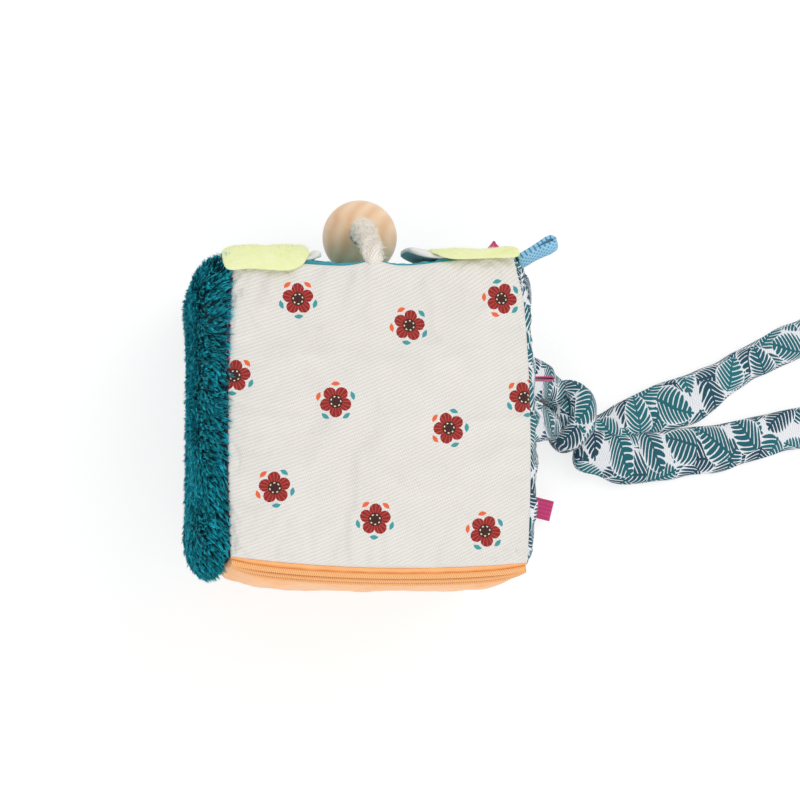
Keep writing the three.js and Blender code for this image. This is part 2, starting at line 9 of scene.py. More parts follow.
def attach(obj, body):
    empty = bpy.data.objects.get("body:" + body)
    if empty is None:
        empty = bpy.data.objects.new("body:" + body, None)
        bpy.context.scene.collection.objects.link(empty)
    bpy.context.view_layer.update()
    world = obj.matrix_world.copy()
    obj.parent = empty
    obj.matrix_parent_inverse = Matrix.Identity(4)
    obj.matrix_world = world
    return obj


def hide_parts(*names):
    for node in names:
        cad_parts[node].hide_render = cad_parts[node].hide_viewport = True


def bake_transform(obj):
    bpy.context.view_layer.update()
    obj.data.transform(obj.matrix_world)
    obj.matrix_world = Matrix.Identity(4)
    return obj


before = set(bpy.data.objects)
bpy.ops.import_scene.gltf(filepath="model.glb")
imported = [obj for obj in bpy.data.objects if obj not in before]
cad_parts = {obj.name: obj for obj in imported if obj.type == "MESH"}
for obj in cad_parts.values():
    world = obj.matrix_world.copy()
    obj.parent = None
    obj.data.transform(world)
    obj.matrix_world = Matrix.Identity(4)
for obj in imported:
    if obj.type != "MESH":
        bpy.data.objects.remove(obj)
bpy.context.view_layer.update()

bl_info = {
    "name": "Soft Fabric Block",
    "version": (1, 0, 0),
    "blender": (4, 5, 0),
    "location": "View3D > Sidebar > Fabric Block",
    "description": "Dresses the frame of a soft fabric activity block",
    "category": "Add Mesh",
}

# The puffed block, as in the frame: half sizes, then for each axis the minus and the plus
# side's crown, bow and fullness.
HALF = np.array([0.0525, 0.0545, 0.053])
SIDE_FORMS = (
    ((0.012, 0.0015, 8), (0.0065, 0.0025, 3)),
    ((0.0065, 0.003, 8), (0.0045, -0.0035, 3)),
    ((0.0045, 0.0, 3), (0.0045, 0.0006, 3)),
)
# how far the cream side's corners are pulled out of square in millimetres, as (x, y), by
# their side of X and Y
CORNER_PULLS = (((-0.3, 3), (0.2, 0.3)), ((0.4, 0.8), (-2.2, 0.8)))
# where sewing pulls the covers, as place, reach and shift in millimetres: the rope's end under
# the front seam, the drawn-in corner beside the mesh loop and the full cheek behind it
LOCAL_PULLS = (
    ((-2.4, 51.5, 110), (6.5, 6, 7), (0, 1.7, 3.2)),
    ((51, 54.5, 110), (9, 10, 8), (-2.3, 0.6, 0)),
    ((30, 51.5, 111), (17, 6, 7), (0, 1.5, 0.4)),
    ((54, 51, 84), (9, 13, 20), (1.5, 0, 0)),
)
MIDDLE_HEIGHT = 0.057
FRONT_SEAM_HEIGHT = MIDDLE_HEIGHT + HALF[2]
BLOCK_MIDDLE = np.array([0, 0, MIDDLE_HEIGHT])
# each cover ends this far from its seams
COVER_TRIM = 0.0001
# no cloth or fibre comes closer to the table than this
OVER_TABLE = 0.0002
# steps of the simulation that settles a cover
SETTLING_FRAMES = 20

# Rope route: shares of its reach out of the front seam and of its way down to the back seam.
ROPE_ROUTE_SHARES = (
    (0.15, -0.006), (0.3, 0.018), (0.44, 0.062), (0.58, 0.12), (0.72, 0.195), (0.86, 0.29),
    (0.965, 0.4), (1, 0.5), (1, 0.68), (1, 0.82), (0.93, 0.9), (0.71, 0.963), (0.4, 0.992),
)
# how far the rope hangs to the left at each of those shares, in millimetres
ROPE_LEANS = (-2.3, -2.6, -2.9, -3.3, -3.1, -2.6, -1.8, -1.1, -1.1, -0.8, -0.3, 0, 0)
ROPE_SEAM_PLACE = -0.0024
BEAD_PLACE = (0.0, 0.06998, 0.036)
BEAD_RADIUS = 0.0142
BEAD_BORE = 0.0047

# Strap: where its ends are sewn on, where it is knotted, and how its free loop lies.
STRAP_ROOT = np.array([0.06067, 0.009, 0.035])
STRAP_WIDTH = 0.017
STRAP_PITCH = 0.0178
STRAP_THICKNESS = 0.0036
STRAP_GIRTH = 0.036
KNOT_PLACE = np.array([0.086, 0.004, 0.0098])
KNOT_HALF_SIZE = np.array([0.0100, 0.0120, 0.0082])
# shares of the way out and down from the sewn seam to the knot
STRAP_END_SHARES = ((0, 0), (0.14, 0.02), (0.36, 0.24), (0.6, 0.66), (0.85, 0.95))
# points of the loop from the knot and back to it, with the cloth's width there, in millimetres
STRAP_LOOP_ROUTE = (
    (88, -8.5, 12), (91, -9.6, 15), (95, -10.6, 18), (101, -11.8, 19), (110, -12.9, 20.4),
    (119, -12.1, 19.4), (127, -10.8, 19.2), (136, -9.6, 19.2), (146, -8.4, 18.6), (155, -6, 17),
    (164, -3.8, 16.5), (175, -0.8, 16), (192, 1.5, 16), (212, 3, 17), (232, 3.5, 17),
    (250, 7, 17), (262, 16, 17), (265, 29, 17), (257, 41, 17), (240, 47.5, 17),
    (218, 47.5, 16), (196, 42, 14.5), (175, 33.3, 14), (166, 28.8, 14), (158, 24.8, 14),
    (148, 18.6, 14.6), (140, 13.9, 17.5), (134, 10.9, 19.4), (127, 8.7, 19), (119, 6.4, 17.8),
    (110, 3, 14.6), (103, 0.6, 12.8), (97, -1, 11.4), (92, -1.5, 10.6), (88, -1.5, 10),
)
STRAP_LOOP_HEIGHT = 0.0021

# Flaps on the rope side, as in the frame.
FLAP_LENGTH = 0.033
FLAP_HEIGHT = 0.056
FLAP_OVERHANG = 0.0045
FLAP_CLEARANCE = 0.00035
FLAP_ROOT_INSET = 0.0008
FLAP_LAYER_GAP = 0.0006
FLAP_NOSE = 0.0026
LINING_WALL = 0.001
LINING_TIP = 0.006
LINING_INSET = 0.0054
LINING_CURL = 0.0026
LINING_PUFF = 0.0026

# Pink ribbon tags.
TAG_WIDTH = 0.008
TAG_WALL = 0.00048

# Flower motifs on the cream side: place across and up in millimetres, and turn in degrees.
FLOWER_PLACES = (
    (-29, 39, 20), (10, 30, 80), (43, 40, 140), (-51, 12, 10), (-16, 3, 55), (24, -6, 110),
    (51, 5, 30), (-37, -27, 95), (-2, -38, 15), (37, -42, 65),
)

# a wave texture's scale is this over the distance in metres from one band to the next
BAND_STEP = 0.314


def linear(code):
    """A colour written as sRGB hex, turned to linear light."""
    shares = [int(code[i : i + 2], 16) / 255 for i in (1, 3, 5)]
    lit = [c / 12.92 if c <= 0.04045 else ((c + 0.055) / 1.055) ** 2.4 for c in shares]
    return (*lit, 1.0)


def length_property(name, description, default):
    return bpy.props.FloatProperty(
        name=name, description=description, default=default, min=0, precision=5, unit="LENGTH"
    )


def colour_property(name, description, code):
    return bpy.props.FloatVectorProperty(
        name=name,
        description=description,
        default=linear(code),
        size=4,
        min=0,
        max=1,
        subtype="COLOR",
    )


class BlockSizes(bpy.types.PropertyGroup):
    """Sizes of the cloths, threads and prints."""

    pile_length: length_property("Pile length", "Length of the plush fibres", 0.0041)
    pile_strands: bpy.props.IntProperty(
        name="Pile fibres", description="Number of plush fibres", default=60000, min=100
    )
    fuzz_length: length_property("Flap pile", "Length of the flap cloth's short pile", 0.0008)
    twill_pitch: length_property("Twill pitch", "Distance between two twill lines", 0.0012)
    flower_width: length_property("Flower width", "Width of a printed flower", 0.0145)
    fern_length: length_property("Fern length", "Length of a printed fern leaf", 0.0132)
    wrinkle_depth: length_property("Wrinkle depth", "Depth of the covers' creases", 0.0007)
    pucker_depth: length_property("Pucker depth", "Depth of the gathers along seams", 0.0003)
    rope_diameter: length_property("Rope diameter", "Diameter of the twisted rope", 0.007)
    rope_twist: length_property("Rope twist", "Length of one full twist of the rope", 0.024)


class BlockColours(bpy.types.PropertyGroup):
    """Colours of the cloths, threads and wood."""

    cream: colour_property("Cream", "Cream twill", "#e9e6e1")
    cream_shade: colour_property("Cream shade", "Cream twill between its lines", "#dfdad3")
    flower_red: colour_property("Flower red", "Petals of the printed flowers", "#8e1c22")
    flower_brown: colour_property("Flower brown", "Middle of the printed flowers", "#3a1712")
    flower_orange: colour_property("Flower orange", "Orange leaves of the flowers", "#e8683c")
    flower_teal: colour_property("Flower teal", "Teal leaves of the flowers", "#3f9aa0")
    # the plush fibres' ramp is painted: shade towards the roots, highlight at the tips
    plush_deep: colour_property("Plush depth", "Plush fibres near their roots", "#06586c")
    plush_tip_highlight: colour_property("Plush tips", "Plush fibres at their tips", "#34c4d0")
    print_white: colour_property("Print ground", "Ground of the fern print", "#edeff2")
    fern_navy: colour_property("Fern navy", "Darkest fern leaves", "#083c52")
    fern_teal: colour_property("Fern teal", "Lightest fern leaves", "#0b6c75")
    teal: colour_property("Teal", "Brushed teal cotton", "#12a0ae")
    satin: colour_property("Satin", "Orange satin", "#ffbf7a")
    piping: colour_property("Piping", "Orange satin piping", "#fdbf7e")
    lime: colour_property("Lime", "Lime flap cloth", "#f1f5c6")
    lime_tip: colour_property("Lime tips", "Lime flap pile tips", "#f6f8d6")
    lining: colour_property("Lining", "White flap lining", "#f1f1ec")
    rope: colour_property("Rope", "Cotton rope", "#fffaf2")
    beech_light: colour_property("Beech light", "Light beech", "#f5d6b4")
    beech_dark: colour_property("Beech dark", "Dark beech grain", "#e3b388")
    pink: colour_property("Pink", "Pink ribbon", "#da2f78")
    blue: colour_property("Blue", "Blue mesh ribbon", "#8fcae6")
    overlock: colour_property("Overlock", "Overlock seam thread", "#2a1a33")
    underside: colour_property("Underside", "Cotton underside", "#e4dac9")


def sizes():
    return bpy.context.scene.fabric_block_sizes


def colours():
    return bpy.context.scene.fabric_block_colours


# ------------------------------------------------------------------ shape


def block_points(s):
    """Points of the puffed block for points s on the unit cube."""
    s = np.asarray(s, float)
    place = np.empty_like(s)
    for axis, sides in enumerate(SIDE_FORMS):
        across = np.abs(s[..., (axis + 1) % 3])
        along = np.abs(s[..., (axis + 2) % 3])
        reach = []
        for crown, bow, fullness in sides:
            swell = (1 - across**fullness) * (1 - along**fullness)
            reach.append(HALF[axis] + crown * swell + bow * (1 - across**2 * along**2))
        share = (1 + s[..., axis]) / 2
        place[..., axis] = reach[1] * share - reach[0] * (1 - share)
    plus = (1 + s) / 2
    for axis in (0, 1):
        low, high = (
            near[0][axis] * (1 - plus[..., 1]) + near[1][axis] * plus[..., 1]
            for near in CORNER_PULLS
        )
        pull = low * (1 - plus[..., 0]) + high * plus[..., 0]
        place[..., axis] += pull * plus[..., 2] / 1000
    place[..., 2] += MIDDLE_HEIGHT
    return place


def teal_points(x, height):
    """Where the teal side's surface lies over x and height, held at its seams outside them."""
    s = np.zeros((*np.shape(x), 3))
    s[..., 1] = 1
    for _ in range(12):
        now = block_points(s)
        s[..., 0] = np.clip(s[..., 0] + (x - now[..., 0]) / HALF[0], -1, 1)
        s[..., 2] = np.clip(s[..., 2] + (height - now[..., 2]) / HALF[2], -1, 1)
    return block_points(s)


def soft_noise(points, span, seed):
    """Smooth seeded noise, mostly from -1 to 1, with features of about span metres."""
    rng = np.random.default_rng(seed)
    total = np.zeros(np.shape(points)[:-1])
    for _ in range(10):
        way = rng.normal(size=np.shape(points)[-1])
        way *= 2 * math.pi / (span * rng.uniform(1.3, 3.2) * np.linalg.norm(way))
        total += np.sin(points @ way + rng.uniform(0, 2 * math.pi))
    return total / 3.2


def unit(vectors):
    return vectors / np.maximum(np.linalg.norm(vectors, axis=-1, keepdims=True), 1e-12)


def together(*parts):
    """Points or pairs from their parts, each spread over the net that the parts make."""
    return np.stack(np.broadcast_arrays(*parts), -1)


def paired(u, v):
    """Pairs (u, v) for a map, one for each point of the net that u and v make."""
    return together(u, v).reshape(-1, 2)


def round_steps(count):
    """Angles of count even steps once round."""
    return 2 * math.pi * np.arange(count) / count


def squared(values, power):
    """A sine or cosine raised to a power with its sign kept, which squares a ring."""
    return np.sign(values) * np.abs(values) ** power


def rim_of_net(rows, columns):
    """Numbers of a net's points along its rim, once round."""
    number = np.arange(rows * columns).reshape(rows, columns)
    return np.concatenate([number[:, 0], number[-1, 1:], number[-2::-1, -1], number[0, -2:0:-1]])


def strip(near, far):
    """Four-sided faces between two closed rows of point numbers."""
    return np.stack([near, far, np.roll(far, -1), np.roll(near, -1)], -1)


def net_normals(points):
    return unit(np.cross(np.gradient(points, axis=0), np.gradient(points, axis=1)))


def net_faces(rows, columns, start=0, around=False):
    """Four-sided faces of a net of points, row by row; around closes each row on itself."""
    row = np.arange(rows - 1)[:, None]
    column = np.arange(columns if around else columns - 1)[None, :]
    after = (column + 1) % columns
    a = row * columns + column
    b = (row + 1) * columns + column
    c = (row + 1) * columns + after
    d = row * columns + after
    return np.stack([a, b, c, d], -1).reshape(-1, 4) + start


def smooth_route(knots, per_span=14):
    """A centripetal curve through the knots, as in the frame."""
    knots = np.asarray(knots, float)
    ends = np.vstack([2 * knots[0] - knots[1], knots, 2 * knots[-1] - knots[-2]])
    made = []
    for k in range(len(knots) - 1):
        p = ends[k : k + 4]
        t = np.concatenate([[0], np.cumsum(np.linalg.norm(np.diff(p, axis=0), axis=1) ** 0.5)])
        now = np.linspace(t[1], t[2], per_span, endpoint=False)[:, None]
        mixes = [
            ((t[i + 1] - now) * p[i] + (now - t[i]) * p[i + 1]) / (t[i + 1] - t[i])
            for i in range(3)
        ]
        mixes = [
            ((t[i + 2] - now) * mixes[i] + (now - t[i]) * mixes[i + 1]) / (t[i + 2] - t[i])
            for i in range(2)
        ]
        made.append(((t[2] - now) * mixes[0] + (now - t[1]) * mixes[1]) / (t[2] - t[1]))
    return np.vstack([*made, knots[-1:]])


def travelled(points):
    """How far along a route each of its points lies."""
    return np.concatenate([[0], np.cumsum(np.linalg.norm(np.diff(points, axis=0), axis=1))])


def respaced(points, count):
    """The same route with count points evenly apart."""
    way = travelled(points)
    even = np.linspace(0, way[-1], count)
    return np.stack([np.interp(even, way, points[:, k]) for k in range(3)], -1)


def add_piece(name, points, faces, material, body, maps=None):
    """Adds a smooth mesh that rides on a body. maps holds (u, v) pairs by name, for each point
    or for each face corner."""
    mesh = bpy.data.meshes.new(name)
    points = np.asarray(points, np.float32).reshape(-1, 3)
    groups = [faces] if isinstance(faces, np.ndarray) else [f for f in faces if len(f)]
    corners = np.concatenate([f.ravel() for f in groups]).astype(np.int32)
    counts = np.concatenate([np.full(len(f), f.shape[1]) for f in groups])
    mesh.vertices.add(len(points))
    mesh.vertices.foreach_set("co", points.ravel())
    mesh.loops.add(len(corners))
    mesh.loops.foreach_set("vertex_index", corners)
    mesh.polygons.add(len(counts))
    starts = np.concatenate([[0], np.cumsum(counts)[:-1]]).astype(np.int32)
    mesh.polygons.foreach_set("loop_start", starts)
    mesh.update(calc_edges=True)
    for label, pairs in (maps or {}).items():
        pairs = np.asarray(pairs, np.float32).reshape(-1, 2)
        per_corner = pairs if len(pairs) == len(corners) != len(points) else pairs[corners]
        layer = mesh.uv_layers.new(name=label)
        layer.data.foreach_set("uv", per_corner.ravel())
    mesh.polygons.foreach_set("use_smooth", np.full(len(counts), True))
    mesh.materials.append(material)
    if mesh.validate():
        raise RuntimeError(f"{name} has faces that are not sound")
    made = bpy.data.objects.new(name, mesh)
    bpy.context.scene.collection.objects.link(made)
    if body:
        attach(made, body)
    return made


def stands_for(node):
    """A piece takes a frame node's place."""
    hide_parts(node)


def sides_of(route, up):
    """Directions across a route and out of it, the second as near to up as it can be."""
    ahead = unit(np.gradient(route, axis=0))
    side = unit(np.cross(up, ahead))
    return side, np.cross(ahead, side)


def tube_net(centre, side, rise, across, thick):
    """Rings of points round a route. across and thick are each ring's offsets."""
    return (
        centre[:, None, :]
        + side[:, None, :] * across[..., None]
        + rise[:, None, :] * thick[..., None]
    )


def closed_tube_faces(rings, around, start=0):
    """Side faces and two end caps of a tube."""
    sides = net_faces(rings, around, start, around=True)
    first = np.arange(around)[None, :] + start
    last = first[:, ::-1] + (rings - 1) * around
    return [sides[:, ::-1], first, last]


def cloth_slab(points, wall):
    """A closed cloth of even thickness over a net of points, with its faces."""
    rows, columns = points.shape[:2]
    normal = net_normals(points)
    top = (points + normal * wall / 2).reshape(-1, 3)
    bottom = (points - normal * wall / 2).reshape(-1, 3)
    count = rows * columns
    face = net_faces(rows, columns)
    loop = rim_of_net(rows, columns)
    return np.vstack([top, bottom]), np.vstack(
        [face, face[:, ::-1] + count, strip(loop, loop + count)])


def fibres(name, roots, ways, lifts, lengths, widths, tints, material, body, segments, curl,
           seed):
    """Flat tapered fibres. Each starts at its root, rises along lifts and bends over to ways."""
    rng = np.random.default_rng(seed)
    count = len(roots)
    share = np.linspace(0, 1, segments + 1)[None, :, None]
    bend = rng.normal(size=(count, 1, 3)) * curl
    reach = lengths[:, None, None]
    line = (
        roots[:, None, :]
        + lifts[:, None, :] * reach * (1 - (1 - share) ** 1.7)
        + ways[:, None, :] * reach * share**1.5
        + bend * reach * share**2
    )
    way = unit(line[:, -1] - line[:, 0])
    flat = unit(np.cross(way, unit(lifts + rng.normal(size=(count, 3)) * 0.9)))
    taper = (1 - 0.85 * share**1.8) * widths[:, None, None] / 2
    points = np.stack([line - flat[:, None, :] * taper, line + flat[:, None, :] * taper], 2)
    points[..., 2] = np.maximum(points[..., 2], OVER_TABLE)
    first = np.arange(count)[:, None] * (segments + 1) * 2
    faces = np.concatenate([first + [2 * k, 2 * k + 1, 2 * k + 3, 2 * k + 2]
                            for k in range(segments)])
    # both edges of a fibre have its tint and its share of the length
    maps = {"fibre": paired(tints[:, None, None], np.repeat(share, 2, 2))}
    return add_piece(name, points, faces, material, body, maps)


# ------------------------------------------------------------------ materials


def add_node(tree, kind, *values, stops=(), take=None, **named):
    """Adds a shader node with its settings and links, and returns an output of it.

    kind is its type and, after a space, its operation. values go to its live sockets in order.
    A name with a capital is a socket's, any other a setting's. stops are a ramp's places and
    colours. The output is the one that take names, Fac, or else the first live one; "all"
    takes every one.
    """
    kind, _, operation = kind.partition(" ")
    made = tree.nodes.new("ShaderNode" + kind)
    if operation:
        made.operation = operation
    for name, value in named.items():
        if name[0].islower():
            setattr(made, name, value)
    for number, (place, colour) in enumerate(stops):
        ramp = made.color_ramp.elements
        stop = ramp[number] if number < 2 else ramp.new(place)
        stop.position = place
        stop.color = linear(colour) if isinstance(colour, str) else colour
    given = list(zip([socket for socket in made.inputs if socket.enabled], values))
    for name, value in named.items():
        if name[0].isupper():
            given.append((made.inputs[name.replace("_", " ")], value))
    for socket, value in given:
        if isinstance(value, bpy.types.NodeSocket):
            tree.links.new(value, socket)
        else:
            socket.default_value = value
    if take:
        return made.outputs if take == "all" else made.outputs[take]
    live = {socket.name: socket for socket in made.outputs if socket.enabled}
    return live.get("Fac") or next(iter(live.values()), None)


def new_material(name):
    """An empty material, and add_node for its tree."""
    made = bpy.data.materials.new(name)
    made.use_nodes = True
    made.node_tree.nodes.clear()
    return made, partial(add_node, made.node_tree)


def with_shader(made, roughness, height=None, depth=0, strength=0, colour=None, stops=(), **own):
    """Ends a material with its shader. height is in shares of depth, and gives the colour by
    stops where there is no other. own are values of the shader's own sockets."""
    put = partial(add_node, made.node_tree)
    if colour is None:
        colour = put("ValToRGB", height, stops=stops)
    if height is not None:
        own["Normal"] = put("Bump", Strength=strength, Distance=depth, Height=height)
    surface = put("BsdfPrincipled", Base_Color=colour, Roughness=roughness, **own)
    put("OutputMaterial", Surface=surface)
    return made


def grey(level):
    return (level, level, level, 1.0)


def twill_lines(put, cloth, pitch, turn, breaks=0.45):
    """Height of slanting twill lines, broken up by their yarns."""
    slant = put("Mapping", cloth, Rotation=(0, 0, math.radians(turn)))
    lines = put("TexWave", slant, BAND_STEP / pitch, bands_direction="Y", Distortion=1.4,
                Detail=2.0, Detail_Scale=1.8)
    # yarns are 0.4 mm wide, and are drawn at 0.8 mm so that they show
    yarns = put("TexWave", slant, BAND_STEP / 0.0008, Distortion=2.6, Detail=2.0)
    return put("Math MULTIPLY_ADD", lines, 1 - breaks, put("Math MULTIPLY", yarns, breaks))


def flower_print(put, ground):
    """One five-petalled flower printed about the middle of its own map: returns the colour."""
    look = colours()
    spot = put("UVMap", uv_map="flower")
    size = put("VectorMath SCALE", spot, 2 / sizes().flower_width)
    place = put("SeparateXYZ", size, take="all")
    radius = put("VectorMath LENGTH", size)
    turn = put("Math ARCTAN2", place["Y"], place["X"])

    def around(times):
        return put("Math COSINE", put("Math MULTIPLY", turn, times))

    lobe = put("Math POWER", put("Math ABSOLUTE", around(2.5)), 0.6)
    edge = put("Math MULTIPLY_ADD", lobe, 0.3, 0.5)
    ragged = put("TexNoise", spot, Scale=2600.0, Detail=1.0)
    frayed = put("Math MULTIPLY_ADD", ragged, 0.07, radius)
    petals = put("Math LESS_THAN", frayed, edge)
    # fine lighter veins along the petals
    vein = put("MapRange", around(20.0), 0.55, 1.0, 0.0, 0.5)
    red = put("Mix", vein, look.flower_red, look.flower_orange, data_type="RGBA")
    # small leaves round the flower, orange on one half and teal on the other
    leaf_turn = put("Math COSINE", put("Math MULTIPLY_ADD", turn, 5.0, math.pi))
    leaf_out = put("Math ABSOLUTE", put("Math SUBTRACT", radius, 0.86))
    leaves = put("Math GREATER_THAN", leaf_turn, put("Math MULTIPLY_ADD", leaf_out, 7.0, 0.25))
    half = put("Math COSINE", put("Math SUBTRACT", turn, 1.2217))
    leaf_tone = put("Mix", put("Math GREATER_THAN", half, 0.0), look.flower_teal,
                    look.flower_orange, data_type="RGBA")
    # pale dots in a ring on the dark middle
    middle = put("Math LESS_THAN", frayed, 0.36)
    ring = put("Math ABSOLUTE", put("Math SUBTRACT", radius, 0.235))
    beaded = put("Math MULTIPLY_ADD", around(7.0), -0.03, 0.05)
    dots = put("Math LESS_THAN", ring, put("Math SUBTRACT", 0.055, beaded))
    for shape, ink in ((leaves, leaf_tone), (petals, red), (middle, look.flower_brown),
                       (dots, linear("#f0d9b8"))):
        ground = put("Mix", shape, ground, ink, data_type="RGBA")
    return ground


def cream_printed_twill():
    """Cotton twill with a screen print: matt, with slanting lines, painted shade in their grooves
    and faint soiled patches.
    """
    look = colours()
    made, put = new_material("cotton_twill_screen_printed")
    cloth = put("UVMap", uv_map="cloth")
    lines = twill_lines(put, cloth, sizes().twill_pitch, -25)
    # the ramp paints shade in the grooves between the twill lines, cream_shade being the shaded
    # tone
    ground = put("ValToRGB", lines, stops=((0.15, look.cream_shade), (0.75, look.cream)))
    patches = put("TexNoise", cloth, Scale=90.0, Detail=4.0)
    soiled = put("MapRange", patches, 0.3, 0.75, 0.965, 1.015)
    inked = flower_print(put, put("VectorMath MULTIPLY", ground, soiled))
    # painted shade: the grooves, print and all, are darkened again
    groove_shade = put("MapRange", lines, To_Min=0.93, To_Max=1.02)
    return with_shader(made, 0.88, lines, 0.00016, 0.5, put("VectorMath MULTIPLY", inked, groove_shade),
                       Sheen_Weight=0.12, Sheen_Roughness=0.5)


def fern_layer(put, cloth, shift, ground, under):
    """Fern leaves printed on a ground over whatever is under them: returns the colour."""
    look = colours()
    spacing = sizes().fern_length * 1.04
    moved = put("VectorMath ADD", put("VectorMath SCALE", cloth, 1 / spacing),
                (shift, shift * 0.7, 0))
    cells = put("TexVoronoi", moved, Scale=1.0, Randomness=0.4, voronoi_dimensions="2D",
                take="all")
    own = put("VectorMath SUBTRACT", moved, cells["Position"])
    chance = put("SeparateColor", cells["Color"], take="all")
    angle = put("Math MULTIPLY", chance["Red"], 2 * math.pi)
    turned = put("VectorRotate", Vector=own, Angle=angle, rotation_type="Z_AXIS")
    place = put("SeparateXYZ", turned, take="all")
    # along runs from the foot, -1, to the tip, 1
    along = put("Math MULTIPLY", place["X"], 2.12)
    across = put("Math ABSOLUTE", place["Y"])
    oval = put("Math MULTIPLY_ADD", put("Math MULTIPLY", along, along), -1.0, 1.0, use_clamp=True)
    width = put("Math MULTIPLY", put("Math POWER", oval, 0.5),
                put("Math MULTIPLY_ADD", along, -0.09, 0.36))
    filled = put("Math DIVIDE", across, put("Math MAXIMUM", width, 0.001))
    # leaflets 1.7 mm apart bend forward from the midrib and end in blunt tips
    sweep = put("Math MULTIPLY_ADD", put("Math POWER", across, 1.3), -1.05, place["X"])
    wave = put("Math PINGPONG", put("Math MULTIPLY", sweep, spacing / 0.00085), 1.0)
    limit = put("Math MULTIPLY_ADD", put("Math POWER", filled, 6.0), -0.6, 0.78)
    leaflets = put("Math LESS_THAN", wave, limit)
    blades = put("Math MULTIPLY", leaflets, put("Math LESS_THAN", filled, 1.0))
    in_reach = put("Math LESS_THAN", put("Math ABSOLUTE", along), 1.05)
    midrib = put("Math MULTIPLY", put("Math LESS_THAN", across, 0.026), in_reach)
    ink = put("Mix", chance["Green"], look.fern_navy, look.fern_teal, data_type="RGBA")
    leaf = put("Mix", put("Math MAXIMUM", midrib, blades), ground, ink, data_type="RGBA")
    covered = put("Math MAXIMUM", put("Math LESS_THAN", filled, 1.06), midrib)
    return put("Mix", covered, under, leaf, data_type="RGBA")


def fern_printed_cotton():
    """Cotton with a fern print: matt, fine slanting weave lines with painted shade in their
    grooves, showing through the ink.
    """
    made, put = new_material("cotton_fern_printed")
    cloth = put("UVMap", uv_map="cloth")
    lines = twill_lines(put, cloth, 0.00075, 55, 0.3)
    # the ramp paints shade in the grooves between the weave lines
    ground = put("ValToRGB", lines, stops=((0.1, "#e0e2e8"), (0.8, colours().print_white)))
    inked = ground
    for shift in (0.0, 7.47, 3.91):
        inked = fern_layer(put, cloth, shift, ground, inked)
    # painted shade: the grooves, ink and all, are darkened again
    groove_shade = put("MapRange", lines, To_Min=0.9, To_Max=1.03)
    return with_shader(made, 0.85, lines, 0.00012, 0.5, put("VectorMath MULTIPLY", inked, groove_shade),
                       Sheen_Weight=0.1, Sheen_Roughness=0.5)


def fibre_colour(put, stops, least, most):
    """Colour along a fibre, which differs from one fibre to the next."""
    place = put("SeparateXYZ", put("UVMap", uv_map="fibre"), take="all")
    chance = put("MapRange", place["X"], To_Min=least, To_Max=most)
    return put("VectorMath MULTIPLY", put("ValToRGB", place["Y"], stops=stops), chance)


def short_pile_plush():
    """Polyester plush fibres: painted shade at their roots and painted highlight at their silky
    tips.
    """
    look = colours()
    made, put = new_material("polyester_plush_short_pile")
    # painted shade towards the roots (#03364a) and painted highlight towards the tips
    stops = ((0.0, "#03364a"), (1.0, look.plush_tip_highlight), (0.35, look.plush_deep),
             (0.72, "#0d97a9"))
    return with_shader(made, 0.55, colour=fibre_colour(put, stops, 0.45, 1.9), Sheen_Weight=0.2,
                       Sheen_Roughness=0.4, Sheen_Tint=linear("#4fd0d8"), Specular_IOR_Level=0.12)


def fibre_finish(name, deep, light):
    """Loose fibres standing off a cloth: painted shade makes them a little darker at their roots.
    """
    made, put = new_material(name)
    colour = fibre_colour(put, ((0.0, deep), (0.8, light)), 0.9, 1.06)
    return with_shader(made, 0.85, colour=colour, Sheen_Weight=0.3, Sheen_Roughness=0.5)


def plush_backing():
    """Knitted back of the plush: its loops are painted a dark teal, as the shade between the
    fibres.
    """
    made, put = new_material("polyester_plush_knit_back")
    loops = put("TexVoronoi", put("TexCoord", take="Object"), Scale=900.0)
    return with_shader(made, 0.95, loops, 0.0005, 0.8, stops=((0.0, "#0a4553"), (0.8, "#01202d")))


def brushed_cotton(name, colour, shade, nap=0.0012):
    """Brushed cotton: matt, its nap clouding the colour and softening its edge."""
    made, put = new_material(name)
    place = put("TexCoord", take="Object")
    clouds = put("TexNoise", place, Scale=0.5 / nap, Detail=6.0, Roughness=0.75)
    return with_shader(made, 0.92, clouds, 0.0004, 0.5, stops=((0.3, shade), (0.68, colour)),
                       Sheen_Weight=0.12, Sheen_Roughness=0.6)


def woven_satin():
    """Polyester satin: long floats give a soft glow across and fine lines along."""
    made, put = new_material("polyester_satin_woven")
    cloth = put("UVMap", uv_map="cloth")
    # warp threads are 0.15 mm apart, drawn at 0.5 mm so that they show
    warp = put("TexWave", cloth, BAND_STEP / 0.0005, Distortion=2.0, Detail=2.0)
    clouds = put("TexNoise", cloth, Scale=160.0, Detail=5.0)
    level = put("Math MULTIPLY_ADD", warp, 0.35, put("Math MULTIPLY", clouds, 0.65))
    return with_shader(made, 0.42, level, 0.00008, 0.5,
                       stops=((0.25, "#f5ab6a"), (0.75, colours().satin)), Sheen_Weight=0.2,
                       Sheen_Roughness=0.4)


def satin_piping():
    """Satin rolled over a cord: glossy crests, darker folds and slanting threads."""
    made, put = new_material("polyester_satin_piping")
    slant = put("Mapping", put("UVMap", uv_map="cloth"), Rotation=(0, 0, math.radians(24)))
    warp = put("TexWave", slant, BAND_STEP / 0.0007, Distortion=1.0, Detail=1.0)
    return with_shader(made, 0.34, warp, 0.00012, 0.6,
                       stops=((0.1, "#e0964f"), (0.7, colours().piping)), Sheen_Weight=0.1)


